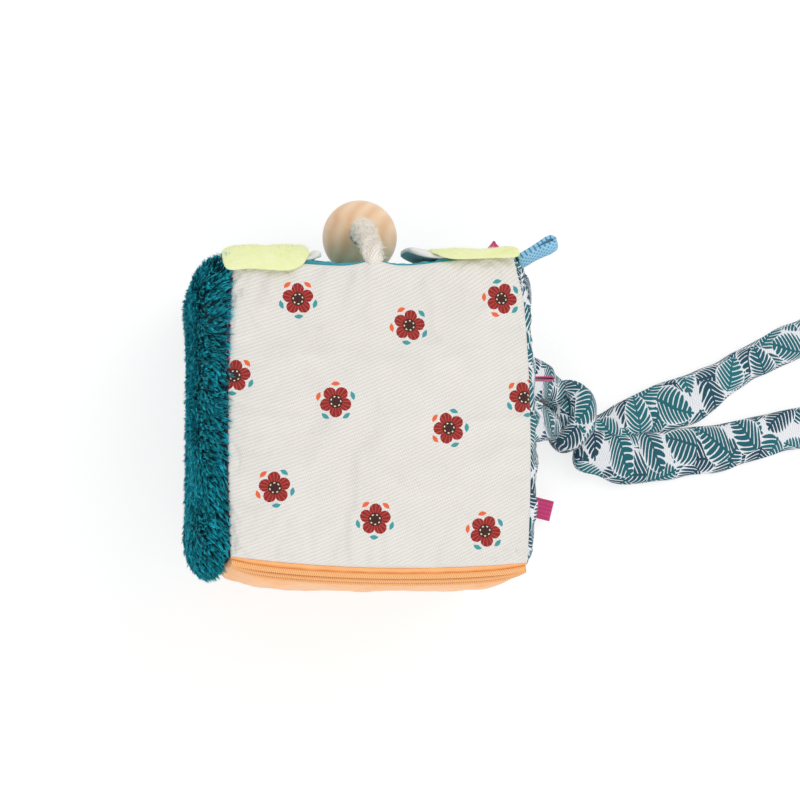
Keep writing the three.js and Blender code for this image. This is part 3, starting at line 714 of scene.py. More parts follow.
def turned_beech():
    """Beech turned and waxed: pale wood with darker grain bands and short flecks."""
    look = colours()
    made, put = new_material("beech_turned_waxed")
    place = put("TexCoord", take="Object")
    tilt = (0.35, 0.6, 0.5)
    log = put("Mapping", place, Rotation=tilt, Scale=(1.0, 1.0, 0.22))
    # growth rings 4.8 mm apart
    rings = put("TexWave", log, BAND_STEP / 0.0048, Distortion=6.0, Detail=3.0, Detail_Scale=0.8)
    clouds = put("TexNoise", log, Scale=55.0, Detail=3.0)
    level = put("Math MULTIPLY_ADD", rings, 0.3, put("Math MULTIPLY", clouds, 0.7))
    tone = put("ValToRGB", level, stops=((0.25, look.beech_light), (0.85, look.beech_dark)))
    fine = put("Mapping", place, Rotation=tilt, Scale=(2600.0, 2600.0, 420.0))
    flecks = put("TexNoise", fine, Scale=1.0, Detail=1.0)
    fleck = put("MapRange", flecks, 0.6, 0.72, 1.0, 0.93)
    return with_shader(made, 0.42, level, 0.0001, 0.15, put("VectorMath MULTIPLY", tone, fleck),
                       Coat_Weight=0.08)


def cotton_yarn():
    """Soft cotton yarn: matt cream fibres twisted along the strand, with painted shade in the
    grooves.
    """
    made, put = new_material("cotton_rope_twisted")
    slant = put("Mapping", put("UVMap", uv_map="cloth"), Rotation=(0, 0, math.radians(35)))
    # yarns 0.8 mm apart
    yarns = put("TexWave", slant, BAND_STEP / 0.0008, bands_direction="Y", Distortion=3.0,
                Detail=3.0)
    return with_shader(made, 0.95, yarns, 0.0004, 0.8,
                       stops=((0.05, "#f3e6d6"), (0.7, colours().rope)), Sheen_Weight=0.3,
                       Sheen_Roughness=0.6)


def woven_ribbon():
    """Polyester ribbon woven with ribs along it: satiny, with painted shade in its grooves."""
    made, put = new_material("polyester_ribbon_woven")
    cloth = put("UVMap", uv_map="cloth")
    # ribs run along the ribbon 1.6 mm apart
    ribs = put("TexWave", cloth, BAND_STEP / 0.0016, bands_direction="Y", Distortion=0.3)
    picks = put("TexWave", cloth, BAND_STEP / 0.0006, Distortion=0.6)
    level = put("Math MULTIPLY_ADD", ribs, 0.7, put("Math MULTIPLY", picks, 0.3))
    return with_shader(made, 0.5, level, 0.0002, 0.7,
                       stops=((0.1, "#b32c66"), (0.75, colours().pink)), Sheen_Weight=0.3,
                       Sheen_Roughness=0.4)


def mesh_ribbon():
    """Nylon mesh ribbon: a net of fine threads, light knots over holes painted darker as shade."""
    made, put = new_material("nylon_mesh_ribbon")
    slant = put("Mapping", put("UVMap", uv_map="cloth"), Rotation=(0, 0, math.radians(45)))
    # mesh holes 1.3 mm apart
    level = put("Math MULTIPLY", *(put("TexWave", slant, BAND_STEP / 0.0013, bands_direction=way)
                                   for way in "XY"))
    tone = put("ValToRGB", level,
               stops=((0.05, colours().blue), (0.75, "#4089b8"), (0.3, "#8fcdec")))
    return with_shader(made, 0.6, put("Math SUBTRACT", 1.0, level), 0.0003, 0.8, tone,
                       Sheen_Weight=0.25, Sheen_Roughness=0.5)


def spun_thread(name, colour, shade):
    """Spun polyester thread: two plies twisted, with a slight shine."""
    made, put = new_material(name)
    slant = put("Mapping", put("UVMap", uv_map="cloth"), Rotation=(0, 0, math.radians(40)))
    plies = put("TexWave", slant, BAND_STEP / 0.0006)
    return with_shader(made, 0.6, plies, 0.0001, 0.6, stops=((0.1, shade), (0.8, colour)))


def open_foam():
    """Polyurethane foam: pale matt cells, seen only where the covers are opened."""
    made, put = new_material("polyurethane_foam_open_cell")
    cells = put("TexVoronoi", put("TexCoord", take="Object"), Scale=700.0)
    return with_shader(made, 0.95, cells, 0.0006, 0.9, stops=((0.0, "#f2ecdf"), (0.9, "#cfc6b4")))


def moulded_polypropylene():
    """Moulded polypropylene: milky white, waxy, with a faint orange-peel skin."""
    made, put = new_material("polypropylene_moulded")
    skin = put("TexNoise", put("TexCoord", take="Object"), Scale=900.0, Detail=2.0)
    return with_shader(made, 0.38, skin, 0.00005, 0.3, stops=((0.3, "#eceae2"), (0.7, "#f6f4ee")),
                       IOR=1.49)


def plain_cotton():
    """Plain woven cotton: matt, with a fine square weave."""
    made, put = new_material("cotton_plain_woven")
    cloth = put("UVMap", uv_map="cloth")
    # threads are 0.3 mm apart, drawn at 0.8 mm so that they show
    level = put("Math MULTIPLY", *(
        put("TexWave", cloth, BAND_STEP / 0.0008, bands_direction=way, Distortion=1.5, Detail=2.0)
        for way in "XY"))
    return with_shader(made, 0.9, level, 0.0002, 0.6,
                       stops=((0.0, "#d6cab5"), (0.7, colours().underside)), Sheen_Weight=0.1)


def shown_to_eye(put):
    """1 for a ray by which the eye sees a surface straight, in a gloss or through something."""
    path = put("LightPath", take="all")
    seen = put("Math MAXIMUM", path["Is Camera Ray"], path["Is Glossy Ray"])
    return put("Math MAXIMUM", seen, path["Is Transmission Ray"])


def white_table():
    """White table: full white to the eye, with the object's shadow left on it."""
    made, put = new_material("table_board_painted_white")
    seen = shown_to_eye(put)
    paint = put("Mix", seen, grey(0.8), grey(0.34), data_type="RGBA")
    glow = put("Emission", Color=grey(1.0), Strength=put("Math MULTIPLY", seen, 0.72))
    put("OutputMaterial", Surface=put("AddShader", put("BsdfDiffuse", Color=paint), glow))
    return made


# ------------------------------------------------------------------ stage


def looking(place, target):
    """Matrix of a camera or lamp at place that looks at target, with +Y up in its picture."""
    place, target = Vector(place), Vector(target)
    ahead = (target - place).normalized()
    right = ahead.cross(Vector((0, 1, 0))).normalized()
    up = right.cross(ahead)
    turn = Matrix((right, up, -ahead)).transposed().to_4x4()
    return Matrix.Translation(place) @ turn


def build_stage():
    scene = bpy.context.scene
    scene.view_settings.view_transform = "Standard"
    reach = 4.0
    corners = [(-reach, -reach, 0), (reach, -reach, 0), (reach, reach, 0), (-reach, reach, 0)]
    floor = add_piece("table_top", corners, np.array([[0, 1, 2, 3]]), white_table(), None)
    camera = bpy.data.objects.new("camera", bpy.data.cameras.new("camera"))
    camera.data.lens = 115.7
    camera.data.clip_start = 0.02
    camera.data.clip_end = 20
    camera.matrix_world = looking((-0.0941, -0.0471, 1.0058), (0.007, 0.0039, 0.111))
    scene.collection.objects.link(camera)
    scene.camera = camera
    lamps = (
        ("window_light", (0.75, 0.85, 1.5), 1.1, 9.0),
        ("side_reflector", (-1.3, -0.9, 1.1), 1.4, 4.0),
        ("low_reflector", (0.2, -1.5, 0.7), 1.4, 5.0),
    )
    for name, place, width, power in lamps:
        lamp = bpy.data.objects.new(name, bpy.data.lights.new(name, "AREA"))
        lamp.data.size = width
        lamp.data.energy = power
        lamp.matrix_world = looking(place, (0, 0, 0.06))
        scene.collection.objects.link(lamp)
    world = bpy.data.worlds.new("white_studio")
    scene.world = world
    world.use_nodes = True
    world.node_tree.nodes.clear()
    put = partial(add_node, world.node_tree)
    strength = put("MapRange", shown_to_eye(put), To_Min=0.76, To_Max=1.0)
    put("OutputWorld", Surface=put("Background", Color=grey(1.0), Strength=strength))


# ------------------------------------------------------------------ strap


def strap_section(count, rings, width, thickness, fullness=0.8):
    """Offsets of a flat rounded cloth tube, and each point's place round the cloth's girth."""
    angle = round_steps(count)
    width, thickness = (np.broadcast_to(size, (rings,))[:, None] for size in (width, thickness))
    across = width / 2 * squared(np.cos(angle), fullness)
    thick = thickness / 2 * squared(np.sin(angle), fullness)
    return across, thick, angle / (2 * math.pi) * STRAP_GIRTH


def strap_tube(name, route, width, thickness, material, body, creases, seed, blunt=0.004):
    """A cloth tube pressed flat along a route. creases is the depth of its lengthwise folds."""
    rings, around = len(route), 40
    side, rise = sides_of(route, (0, 0, 1))
    way = travelled(route)
    across, thick, girth = strap_section(around, rings, width, thickness)
    near_end = np.minimum(way, way[-1] - way)
    closing = np.sqrt(np.clip(1 - (1 - np.clip(near_end / blunt, 0, 1)) ** 2, 0.02, 1))
    across, thick = across * closing[:, None], thick * closing[:, None]
    # folds run further along the cloth than across it
    stretch = 2.2
    place = together(way[:, None] / stretch, across, thick)
    folds = soft_noise(place, 0.0042, seed) * creases[:, None]
    ripples = soft_noise(place * np.array([stretch, 1, 1]), 0.005, seed + 1) * 0.00022
    half_width = np.sqrt(across**2 + thick**2) + 1e-9
    grow = 1 + (folds + ripples) / np.maximum(half_width, 0.0018)
    net = tube_net(route, side, rise, across * grow, thick * grow)
    net[..., 2] = np.maximum(net[..., 2], OVER_TABLE)
    maps = {"cloth": paired(way[:, None], girth)}
    return add_piece(name, net, closed_tube_faces(rings, around), material, body, maps)


def knot_folds(material):
    """The overhand knot: a lump of bunched cloth with the strap wrapped slantwise round it."""
    rings, around = 90, 72
    polar = np.linspace(0.0, math.pi, rings)[:, None]
    turn = np.linspace(0, 2 * math.pi, around, endpoint=False)[None, :]
    ball = together(np.cos(polar), np.sin(polar) * np.cos(turn), np.sin(polar) * np.sin(turn))
    lump = ball * KNOT_HALF_SIZE
    folds = np.sin(turn * 7 + lump[..., 0] * 420 + 0.6 * soft_noise(lump, 0.006, 5))
    lump *= 1 + (0.06 * folds * np.sin(polar) + 0.05 * soft_noise(lump, 0.007, 3))[..., None]
    core = lump + KNOT_PLACE
    # the wrap runs over the lump from its far side down to the near side and under it
    steps = 110
    angle = np.linspace(math.radians(215), math.radians(-110), steps)
    slide = -0.0035 + 0.0078 * np.clip(np.sin(angle + 0.35), 0, 1) ** 0.8
    route = np.stack([slide, np.cos(angle) * 0.0104, np.sin(angle) * 0.0074], -1)
    tilt = math.radians(12)
    turned = route.copy()
    turned[:, 0] = route[:, 0] * math.cos(tilt) - route[:, 1] * math.sin(tilt) * 0.55
    turned[:, 1] = route[:, 0] * math.sin(tilt) + route[:, 1] * math.cos(tilt)
    route = turned + KNOT_PLACE
    side, rise = sides_of(route, unit(route - KNOT_PLACE))
    sides = 44
    across, thick, girth = strap_section(sides, steps, 0.0125, 0.0066, 0.95)
    fold = np.sin(across / 0.0021 + 2.2 * np.sin(np.linspace(0, 5, steps))[:, None])
    thick = thick * (1 + 0.16 * fold) + np.where(thick > 0, fold * 0.00035, 0)
    wrap = tube_net(route, side, rise, across, thick)
    points = np.vstack([core.reshape(-1, 3), wrap.reshape(-1, 3)])
    points[:, 2] = np.maximum(points[:, 2], 0.00035)
    faces = [net_faces(rings, around, around=True),
             *closed_tube_faces(steps, sides, rings * around)]
    # the wrap's cloth is another length of the strap's than the core's
    core_map = paired(turn * 0.009, polar * 0.009)
    maps = {"cloth": np.vstack([core_map, paired(travelled(route)[:, None] + 0.2, girth)])}
    return add_piece("strap_knot_wrapped", points, faces, material, "strap", maps)


def build_strap():
    material = fern_printed_cotton()
    knots = np.array(STRAP_LOOP_ROUTE) / 1000
    spread = smooth_route(knots)
    way = travelled(spread[:, :2])
    even = np.linspace(0, way[-1], 430)
    route = np.stack([np.interp(even, way, spread[:, k]) for k in range(3)], -1)
    width = route[:, 2].copy()
    near, back = even, even[-1] - even
    closest = np.minimum(near, back)
    # the strands leave the knot above the floor, the lower one over the upper one's edge
    route[:, 2] = STRAP_LOOP_HEIGHT + 0.0035 * np.exp(-((closest / 0.011) ** 2))
    route[:, 2] += 0.0012 * np.exp(-((near / 0.034) ** 4))
    gathered = np.exp(-((closest / 0.02) ** 2))
    thickness = STRAP_THICKNESS * (1.25 + 0.7 * gathered)
    loop = strap_tube("strap_free_loop", route, width, thickness, material, "strap",
                      0.0003 + 0.0006 * gathered, 11)
    stands_for("strap_loop")
    knot = knot_folds(material)
    stands_for("strap_knot")
    start = STRAP_ROOT[0] + 0.0008
    reach, drop = KNOT_PLACE[0] - start, STRAP_ROOT[2] - KNOT_PLACE[2]
    for label, hand in (("upper", 1), ("lower", -1)):
        # sewn in behind the side's surface
        y = STRAP_ROOT[1] + hand * STRAP_PITCH / 2
        knots = [(start - 0.0034, y, STRAP_ROOT[2])]
        for out, down in STRAP_END_SHARES:
            pull = out**1.5
            gathered_y = KNOT_PLACE[1] + hand * STRAP_PITCH / 4
            knots.append((start + reach * out, y + (gathered_y - y) * pull,
                          STRAP_ROOT[2] - drop * down))
        line = respaced(smooth_route(knots), 60)
        share = np.linspace(0, 1, 60)
        end = strap_tube("strap_sewn_end_" + label, line, STRAP_WIDTH * (1 - 0.45 * share**1.5),
                         0.003 + 0.003 * share, material, None, 0.0002 + 0.0007 * share,
                         21 + hand, blunt=0.0015)
        stands_for("strap_end_" + label)
        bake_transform(end)


# ------------------------------------------------------------------ covers


def side_net(axis, sign, steps):
    """Net of cube points over one side, closer near its seams, and its two axes."""
    first = (axis + (1 if sign > 0 else 2)) % 3
    second = (axis + (2 if sign > 0 else 1)) % 3
    even = np.linspace(-1, 1, steps + 1)
    share = even + (np.sin(even * math.pi / 2) - even) * 0.6
    s = np.zeros((steps + 1, steps + 1, 3))
    s[..., axis] = sign
    s[..., first] = (share * (1 - COVER_TRIM / HALF[first]))[:, None]
    s[..., second] = (share * (1 - COVER_TRIM / HALF[second]))[None, :]
    return s, first, second


def seam_distances(s, first, second):
    """Distances from a side's points to its nearest seam and to its nearest corner."""
    edges = [HALF[k] * (1 - np.abs(s[..., k])) for k in (first, second)]
    return np.minimum(*edges), np.hypot(*edges), edges


def cover_relief(points, s, first, second, seed, creases, puckers):
    """How far a cover stands out of the smooth block: gathers and creases."""
    seam, corner, edges = seam_distances(s, first, second)
    # the way along the nearest seam; the shift gives its neighbour other gathers
    along = np.where(edges[0] < edges[1], s[..., second] * HALF[second],
                     s[..., first] * HALF[first] + 0.3)
    gather_place = np.stack([along, seam / 4], -1)
    gathers = soft_noise(gather_place, 0.0026, seed)
    relief = puckers * gathers * np.exp(-(((seam - 0.003) / 0.0035) ** 2))
    long_fold = 1 - np.abs(soft_noise(points, 0.014, seed + 1))
    relief -= creases * np.clip(long_fold, 0, 1) ** 6 * np.exp(-seam / 0.016)
    relief += creases * 0.5 * soft_noise(points, 0.012, seed + 2)
    return relief * (1 - 0.5 * np.exp(-((corner / 0.004) ** 2)))


def local_pull(points):
    """How far sewing pulls the covers, and what lies on them, out of their even form."""
    pull = np.zeros(points.shape)
    for place, reach, shift in LOCAL_PULLS:
        away = (points * 1000 - place) / reach
        pull += np.exp(-(away**2).sum(-1))[..., None] * np.array(shift) / 1000
    return pull


def seam_roll(points, seam):
    """Covers turn in along their seams, towards the block's middle, and are pulled where
    LOCAL_PULLS says. Neighbouring covers move alike."""
    turned = unit(BLOCK_MIDDLE - points) * (0.0010 * np.exp(-seam / 0.0010))[..., None]
    return points + turned + local_pull(points)


def settled_relief(axis, sign, steps, grow):
    """Creases that a cloth side takes when it is sewn to its frame a little too large and
    filled: a cloth simulation, its slow swelling taken off, spread to the finer net."""
    coarse = 56
    s, _, _ = side_net(axis, sign, coarse)
    points = block_points(s)
    normal = net_normals(points)
    mesh = bpy.data.meshes.new("settling_cloth")
    mesh.from_pydata([tuple(p) for p in points.reshape(-1, 3)], [],
                     net_faces(coarse + 1, coarse + 1).tolist())
    cloth = bpy.data.objects.new("settling_cloth", mesh)
    bpy.context.scene.collection.objects.link(cloth)
    sewn = cloth.vertex_groups.new(name="sewn")
    sewn.add(rim_of_net(coarse + 1, coarse + 1).tolist(), 1.0, "REPLACE")
    change = cloth.modifiers.new("Cloth", "CLOTH")
    settings = change.settings
    settings.quality = 6
    settings.mass = 0.2
    settings.tension_stiffness = settings.compression_stiffness = 12
    settings.shear_stiffness = 3
    settings.bending_stiffness = 0.02
    settings.vertex_group_mass = "sewn"
    settings.shrink_min = -grow
    settings.use_pressure = True
    settings.uniform_pressure_force = 3.0
    settings.effector_weights.gravity = 0
    change.collision_settings.use_collision = False
    change.point_cache.frame_start, change.point_cache.frame_end = 1, SETTLING_FRAMES
    scene = bpy.context.scene
    for frame_number in range(1, SETTLING_FRAMES + 1):
        scene.frame_set(frame_number)
    now = cloth.evaluated_get(bpy.context.evaluated_depsgraph_get()).to_mesh()
    settled = np.empty(len(points.reshape(-1)))
    now.vertices.foreach_get("co", settled)
    bpy.data.objects.remove(cloth)
    bpy.data.meshes.remove(mesh)
    scene.frame_set(1)
    moved = ((settled.reshape(points.shape) - points) * normal).sum(-1)
    # what is left after this much smoothing is the slow swelling
    slow = moved.copy()
    for _ in range(30):
        wide = np.pad(slow, 1, mode="edge")
        slow = (wide[:-2, 1:-1] + wide[2:, 1:-1] + wide[1:-1, :-2] + wide[1:-1, 2:]) / 4
    relief = np.clip(moved - slow, -0.001, 0.001)
    place = np.linspace(0, coarse, steps + 1)
    spread = np.array([np.interp(place, np.arange(coarse + 1), row) for row in relief])
    return np.array([np.interp(place, np.arange(coarse + 1), row) for row in spread.T]).T


def build_cover(name, node, axis, sign, material, seed, steps=150, extra=None, grow=0.0):
    """One cover, swelling between its seams and turned in along them. extra adds to its relief,
    and grow is how much too large the cloth is that settles on it."""
    s, first, second = side_net(axis, sign, steps)
    points = block_points(s)
    normal = net_normals(points)
    seam = seam_distances(s, first, second)[0]
    relief = cover_relief(points, s, first, second, seed, sizes().wrinkle_depth,
                          sizes().pucker_depth)
    if extra is not None:
        relief = relief + extra(points, s)
    if grow:
        relief = relief + settled_relief(axis, sign, steps, grow)
    relief *= 1 - np.exp(-((seam / 0.0017) ** 2))
    if node == "teal_panel":
        # the bead's way stays clear
        way = np.exp(-((points[..., 0] / 0.017) ** 4))
        relief = np.minimum(relief, 0.0006 * (1 - way) - 0.0005 * way)
    if node == "ribbed_panel":
        # the ribs keep the satin smooth below the front seam
        relief *= np.clip((FRONT_SEAM_HEIGHT - points[..., 2]) / 0.014, 0, 1)
    points = seam_roll(points + normal * relief[..., None], seam)
    points[..., 2] = np.maximum(points[..., 2], OVER_TABLE)
    rows = steps + 1
    loop = rim_of_net(rows, rows)
    points = points.reshape(-1, 3)
    rim = points[loop]
    # two rows of points turn in behind the rim
    points = np.vstack([points, *(rim + (BLOCK_MIDDLE - rim) * share for share in (0.012, 0.035))])
    behind = rows * rows + np.arange(2 * len(loop)).reshape(2, -1)
    faces = np.vstack([net_faces(rows, rows), strip(loop, behind[0]), strip(*behind)])
    cloth = np.stack([s[..., first] * HALF[first], s[..., second] * HALF[second]], -1)
    if sign < 0:
        cloth = cloth[..., ::-1]
    cloth = cloth.reshape(-1, 2)
    maps = {"cloth": np.vstack([cloth, cloth[loop], cloth[loop]])}
    if node == "front_panel":
        maps["flower"] = flower_map(points, faces)
    made = add_piece(name, points, faces, material, "block", maps)
    stands_for(node)


def flower_map(points, faces):
    """Each face corner's place on its nearest printed flower."""
    places = np.array([(x / 1000, y / 1000) for x, y, _ in FLOWER_PLACES])
    turns = np.radians([turn for _, _, turn in FLOWER_PLACES])
    middles = points[faces].mean(1)[:, :2]
    nearest = np.argmin(((middles[:, None, :] - places[None]) ** 2).sum(-1), 1)
    corner = points[faces][..., :2] - places[nearest][:, None, :]
    cos, sin = np.cos(turns[nearest])[:, None], np.sin(turns[nearest])[:, None]
    x = corner[..., 0] * cos + corner[..., 1] * sin
    y = corner[..., 1] * cos - corner[..., 0] * sin
    return np.stack([x, y], -1)


def front_folds(points, _):
    """Soft folds of the cream side: a fan under the rope's sewn end, and creases that run in
    from the flaps and the corners. Each is (x, y) to (x, y), width and depth, in mm."""
    folds = (
        (-47, 53, -43, 39, 4.6, -0.6), (-39.5, 51, -45, 37, 1.7, 0.55),
        (-44, 43, -33, 53, 2.4, 0.55), (-38, 34, -24, 50, 3.2, -0.4),
        (-27, 44, -20, 53, 2.2, 0.4), (-9, 30, -4, 52, 2.6, 0.5), (-1, 36, -3, 52, 2.0, -0.35),
        (7, 33, 0, 52, 2.4, 0.45), (22, 42, 30, 53, 2.6, 0.4), (44, 28, 52, 14, 3.0, 0.45),
        (40, -18, 53, -30, 3.4, 0.4), (-53, -14, -40, -22, 3.2, 0.4),
        (-30, -52, -24, -38, 3.0, 0.35), (14, -53, 20, -36, 3.4, 0.4),
        (44, -52, 38, -40, 2.6, 0.35), (-50, 26, -38, 20, 3.0, 0.35),
    )
    relief = np.zeros(points.shape[:2])
    for x0, y0, x1, y1, width, depth in folds:
        start, way = np.array([x0, y0]) / 1000, np.array([x1 - x0, y1 - y0]) / 1000
        long = np.linalg.norm(way)
        from_start = points[..., :2] - start
        along = np.clip(from_start @ way / long**2, 0, 1)
        off = np.linalg.norm(from_start - along[..., None] * way, axis=-1)
        relief -= depth / 1000 * np.exp(-((off / (width / 1000)) ** 2)) * np.sqrt(
            np.clip(1 - np.abs(2 * along - 1) ** 3, 0, 1))
    return relief


def plush_swell(s):
    """How much fuller the pile's ground is than the frame towards its upper and lower ends."""
    up, front = np.abs(s[..., 1]), np.abs(s[..., 2])
    return 0.013 * (up**6 - up**20) * (1 - front**8)


def build_covers():
    look = colours()
    build_cover("cream_front_cover", "front_panel", 2, 1, cream_printed_twill(),
                seed=101, steps=180, extra=front_folds, grow=0.03)
    build_cover("leaf_print_side_cover", "leaf_print_panel", 0, 1, fern_printed_cotton(),
                seed=102, grow=0.05)
    build_cover("teal_rope_side_cover", "teal_panel", 1, 1,
                brushed_cotton("cotton_brushed_teal", look.teal, "#12838f"),
                seed=103, grow=0.04)
    build_cover("orange_satin_side_cover", "ribbed_panel", 1, -1, woven_satin(),
                seed=104, grow=0.02)
    build_cover("plush_side_backing", "plush_panel", 0, -1, plush_backing(),
                seed=105, steps=90, extra=lambda _, s: plush_swell(s) - 0.002)
    build_cover("underside_cover", "back_panel", 2, -1, plain_cotton(),
                seed=106, steps=110)


def side_frames(s):
    """Places on the pile's ground with its upward, frontward and outward directions there."""
    step = 1e-3
    here = block_points(s)
    up = block_points(np.clip(s + [0, step, 0], -1, 1)) - block_points(s - [0, step, 0])
    front = block_points(np.clip(s + [0, 0, step], -1, 1)) - block_points(s - [0, 0, step])
    up, front = unit(up), unit(front)
    out = unit(np.cross(front, up))
    return here + out * plush_swell(s)[:, None], up, front, out


def build_plush():
    """Dense pile combed towards the front seam, a little downwards, lying in small locks."""
    rng = np.random.default_rng(7)
    count = sizes().pile_strands
    # locks lie 0.9 mm apart
    tufts = 14500

    def scattered(number, reach):
        return together(-1.0, *(rng.uniform(-reach, reach, number) for _ in range(2)))

    tuft_s = scattered(tufts, 1)
    root_s = scattered(count, 0.998)
    here, _, _, out = side_frames(root_s)
    tuft_here, tuft_up, tuft_front, tuft_out = side_frames(tuft_s)
    tree = kdtree.KDTree(tufts)
    for number, place in enumerate(tuft_here):
        tree.insert(place, number)
    tree.balance()
    own = np.array([tree.find(place)[1] for place in here])
    low = np.clip((0.35 - tuft_s[:, 1]) / 0.8, 0, 1)
    lean = math.radians(8) + math.radians(26) * low + 0.3 * soft_noise(tuft_here, 0.012, 31)
    lean = lean + rng.normal(0, 0.24, tufts)
    # locks near the ends of the side stand up and round its corners off
    stand = np.clip((np.abs(tuft_s[:, 1]) - 0.86) / 0.14, 0, 1)
    height = np.clip(rng.normal(0.36, 0.12, tufts) + 0.3 * stand, 0.15, 1)
    flat = np.sqrt(np.clip(1 - height**2, 0.1, 1))[:, None]
    tuft_way = (np.cos(lean)[:, None] * tuft_front - np.sin(lean)[:, None] * tuft_up) * flat
    length = sizes().pile_length * rng.uniform(0.8, 1.1, count)
    # shorter where the left flap lies against the pile
    near_flap = np.clip((here[:, 0] + 0.0615) / 0.004, 0, 1) * np.clip(
        (here[:, 1] - 0.045) / 0.003, 0, 1) * np.clip((here[:, 2] - 0.056) / 0.004, 0, 1)
    length *= 1 - 0.62 * near_flap
    tuft_end = tuft_here + tuft_way * sizes().pile_length + tuft_out * (
        height * sizes().pile_length)[:, None]
    free_end = here + tuft_way[own] * length[:, None] + out * (height[own] * length)[:, None]
    end = free_end + (tuft_end[own] - free_end) * 0.66
    lifts = out * height[own][:, None] * 1.1
    ways = (end - here) / length[:, None] - lifts
    tints = np.clip(0.8 * rng.random(tufts)[own] + 0.2 * rng.random(count), 0, 1)
    widths = rng.uniform(0.00026, 0.0004, count)
    # rooted deeper away from the seams, because the backing lies deeper there
    sunk = 0.0021 * (1 - np.exp(-((1 - np.abs(root_s[:, 1:]).max(1)) * HALF[2] / 0.003) ** 2))
    pile = fibres("plush_pile_fibres", here - out * (sunk + 0.0003)[:, None], ways, lifts, length,
                  widths, tints, short_pile_plush(), "block", segments=3, curl=0.06, seed=17)


# ------------------------------------------------------------------ seams and piping


def round_tube(name, route, radius, material, body, around, lift=(0.3, 0.5, 0.81)):
    """A round thread or cord along a route, its first points square to lift."""
    side, rise = sides_of(route, lift)
    angle = round_steps(around)
    net = tube_net(route, side, rise, radius * np.cos(angle), radius * np.sin(angle))
    maps = {"cloth": paired(travelled(route)[:, None], angle * radius)}
    return add_piece(name, net, closed_tube_faces(len(route), around), material, body, maps)


def build_seams():
    look = colours()
    dark = spun_thread("polyester_thread_dark_purple", look.overlock, "#140b1b")
    pale = spun_thread("polyester_thread_lilac", "#8d7c9b", "#5c4b6c")
    # overlock loops over the edge between the plush and the cream side, 3.2 mm apart
    loops, per_loop = 33, 14
    for name, material, low, swing, lead, radius in (
        ("overlock_loop_thread", dark, -0.985, 0.0006, 0.0, 0.00026),
        ("overlock_cover_thread", pale, 0.2, 0.00055, 1.6, 0.0002),
    ):
        place = np.linspace(low, 0.985, loops * per_loop + 1)
        turn = (place + 1) / 2 * loops * 2 * math.pi
        turn = turn + 0.9 * soft_noise(place[:, None] * [0.05, 0], 0.004, 81)
        edge = block_points(together(-1.0, place, 1.0))
        inward = np.array([1, 0, 0.15])
        route = edge + inward * (0.0004 + swing * np.sin(turn + lead))[:, None]
        route[:, 1] += 0.0005 * np.sin(2 * turn + lead)
        route[:, 2] += -0.0002 + 0.0003 * np.cos(turn + lead)
        thread = round_tube(name, route, radius, material, "block", 6)


def build_piping():
    material = satin_piping()
    for row in range(3):
        # the ribs are 1.95 mm apart
        up = 1 - (0.0015 + row * 0.00195) / HALF[2]
        across = np.linspace(-1, 1, 160) * (1 - 0.0012 / HALF[0])
        route = block_points(together(across, -1.0, up))
        route[:, 1] -= 0.00075
        route[:, 2] += 0.00015 * np.sin(across * 31 + row) * (1 - across**2)
        rib = round_tube("satin_rib_" + str(row + 1), route, 0.00098, material, "block", 16,
                         (0, 0, 1))
        stands_for("piping_row_" + str(row + 1))


# ------------------------------------------------------------------ rope and bead


def rope_route():
    start = block_points([0, 1, 1])
    end = block_points([0, 1, -1])
    reach, drop = BEAD_PLACE[1] - start[1], start[2] - end[2]
    knots = [(ROPE_SEAM_PLACE, start[1] + 0.0008, start[2] + 0.00032)]
    knots += [(lean / 1000, start[1] + reach * out, start[2] - drop * down)
              for lean, (out, down) in zip(ROPE_LEANS, ROPE_ROUTE_SHARES)]
    knots.append((0, end[1] + 0.00135, end[2] + 0.0003))
    return respaced(smooth_route(knots), 260)


def build_rope():
    route = rope_route()
    way = travelled(route)
    ahead = unit(np.gradient(route, axis=0))
    side = np.broadcast_to(np.array([1.0, 0, 0]), route.shape)
    rise = np.cross(ahead, side)
    radius = sizes().rope_diameter / 2
    around = 20
    angle = round_steps(around)
    points, faces, maps = [], [], []

    def add_strand(line, side, rise, swell, girth):
        faces.extend(closed_tube_faces(len(line), around, len(points) * len(line) * around))
        net = tube_net(line, side, rise, swell[:, None] * np.cos(angle),
                       swell[:, None] * np.sin(angle))
        points.append(net.reshape(-1, 3))
        maps.append(paired(way[:, None], angle * girth))

    # three strands touch: their middles lie 1.155 of a strand's radius from the rope's middle
    strand = radius / 2.155
    offset = strand * 1.155
    for number in range(3):
        turn = 2 * math.pi * (way / sizes().rope_twist + number / 3)
        line = route + side * (offset * np.cos(turn))[:, None] + rise * (
            offset * np.sin(turn))[:, None]
        out = unit(line - route)
        across = unit(np.cross(unit(np.gradient(line, axis=0)), out))
        swell = strand * (1.06 + 0.09 * soft_noise(line, 0.0035, 40 + number))
        add_strand(line, across, out, swell, strand)
    # soft core that fills the grooves between the strands
    add_strand(route, side, rise, radius * 0.86 * (1 + 0.03 * soft_noise(route, 0.004, 44)), 0.003)
    rope = add_piece("twisted_cotton_rope", np.vstack(points), faces, cotton_yarn(), "block",
                     {"cloth": np.vstack(maps)})
    stands_for("rope")
    rng = np.random.default_rng(9)
    count = 14000
    pick = rng.integers(4, len(route) - 4, count)
    turn = rng.uniform(0, 2 * math.pi, count)
    out = side[pick] * np.cos(turn)[:, None] + rise[pick] * np.sin(turn)[:, None]
    roots = route[pick] + out * (radius - 0.0006)
    ways = ahead[pick] * rng.normal(0, 0.7, count)[:, None] + np.cross(
        ahead[pick], out) * rng.normal(0, 0.7, count)[:, None]
    fuzz = fibres("rope_loose_fibres", roots, ways, out * 0.5,
                  rng.uniform(0.0009, 0.0022, count), np.full(count, 0.00016),
                  rng.random(count), fibre_finish("cotton_fibres_loose", "#e9ddca", "#fbf6ee"),
                  "block", segments=2, curl=0.3, seed=19)


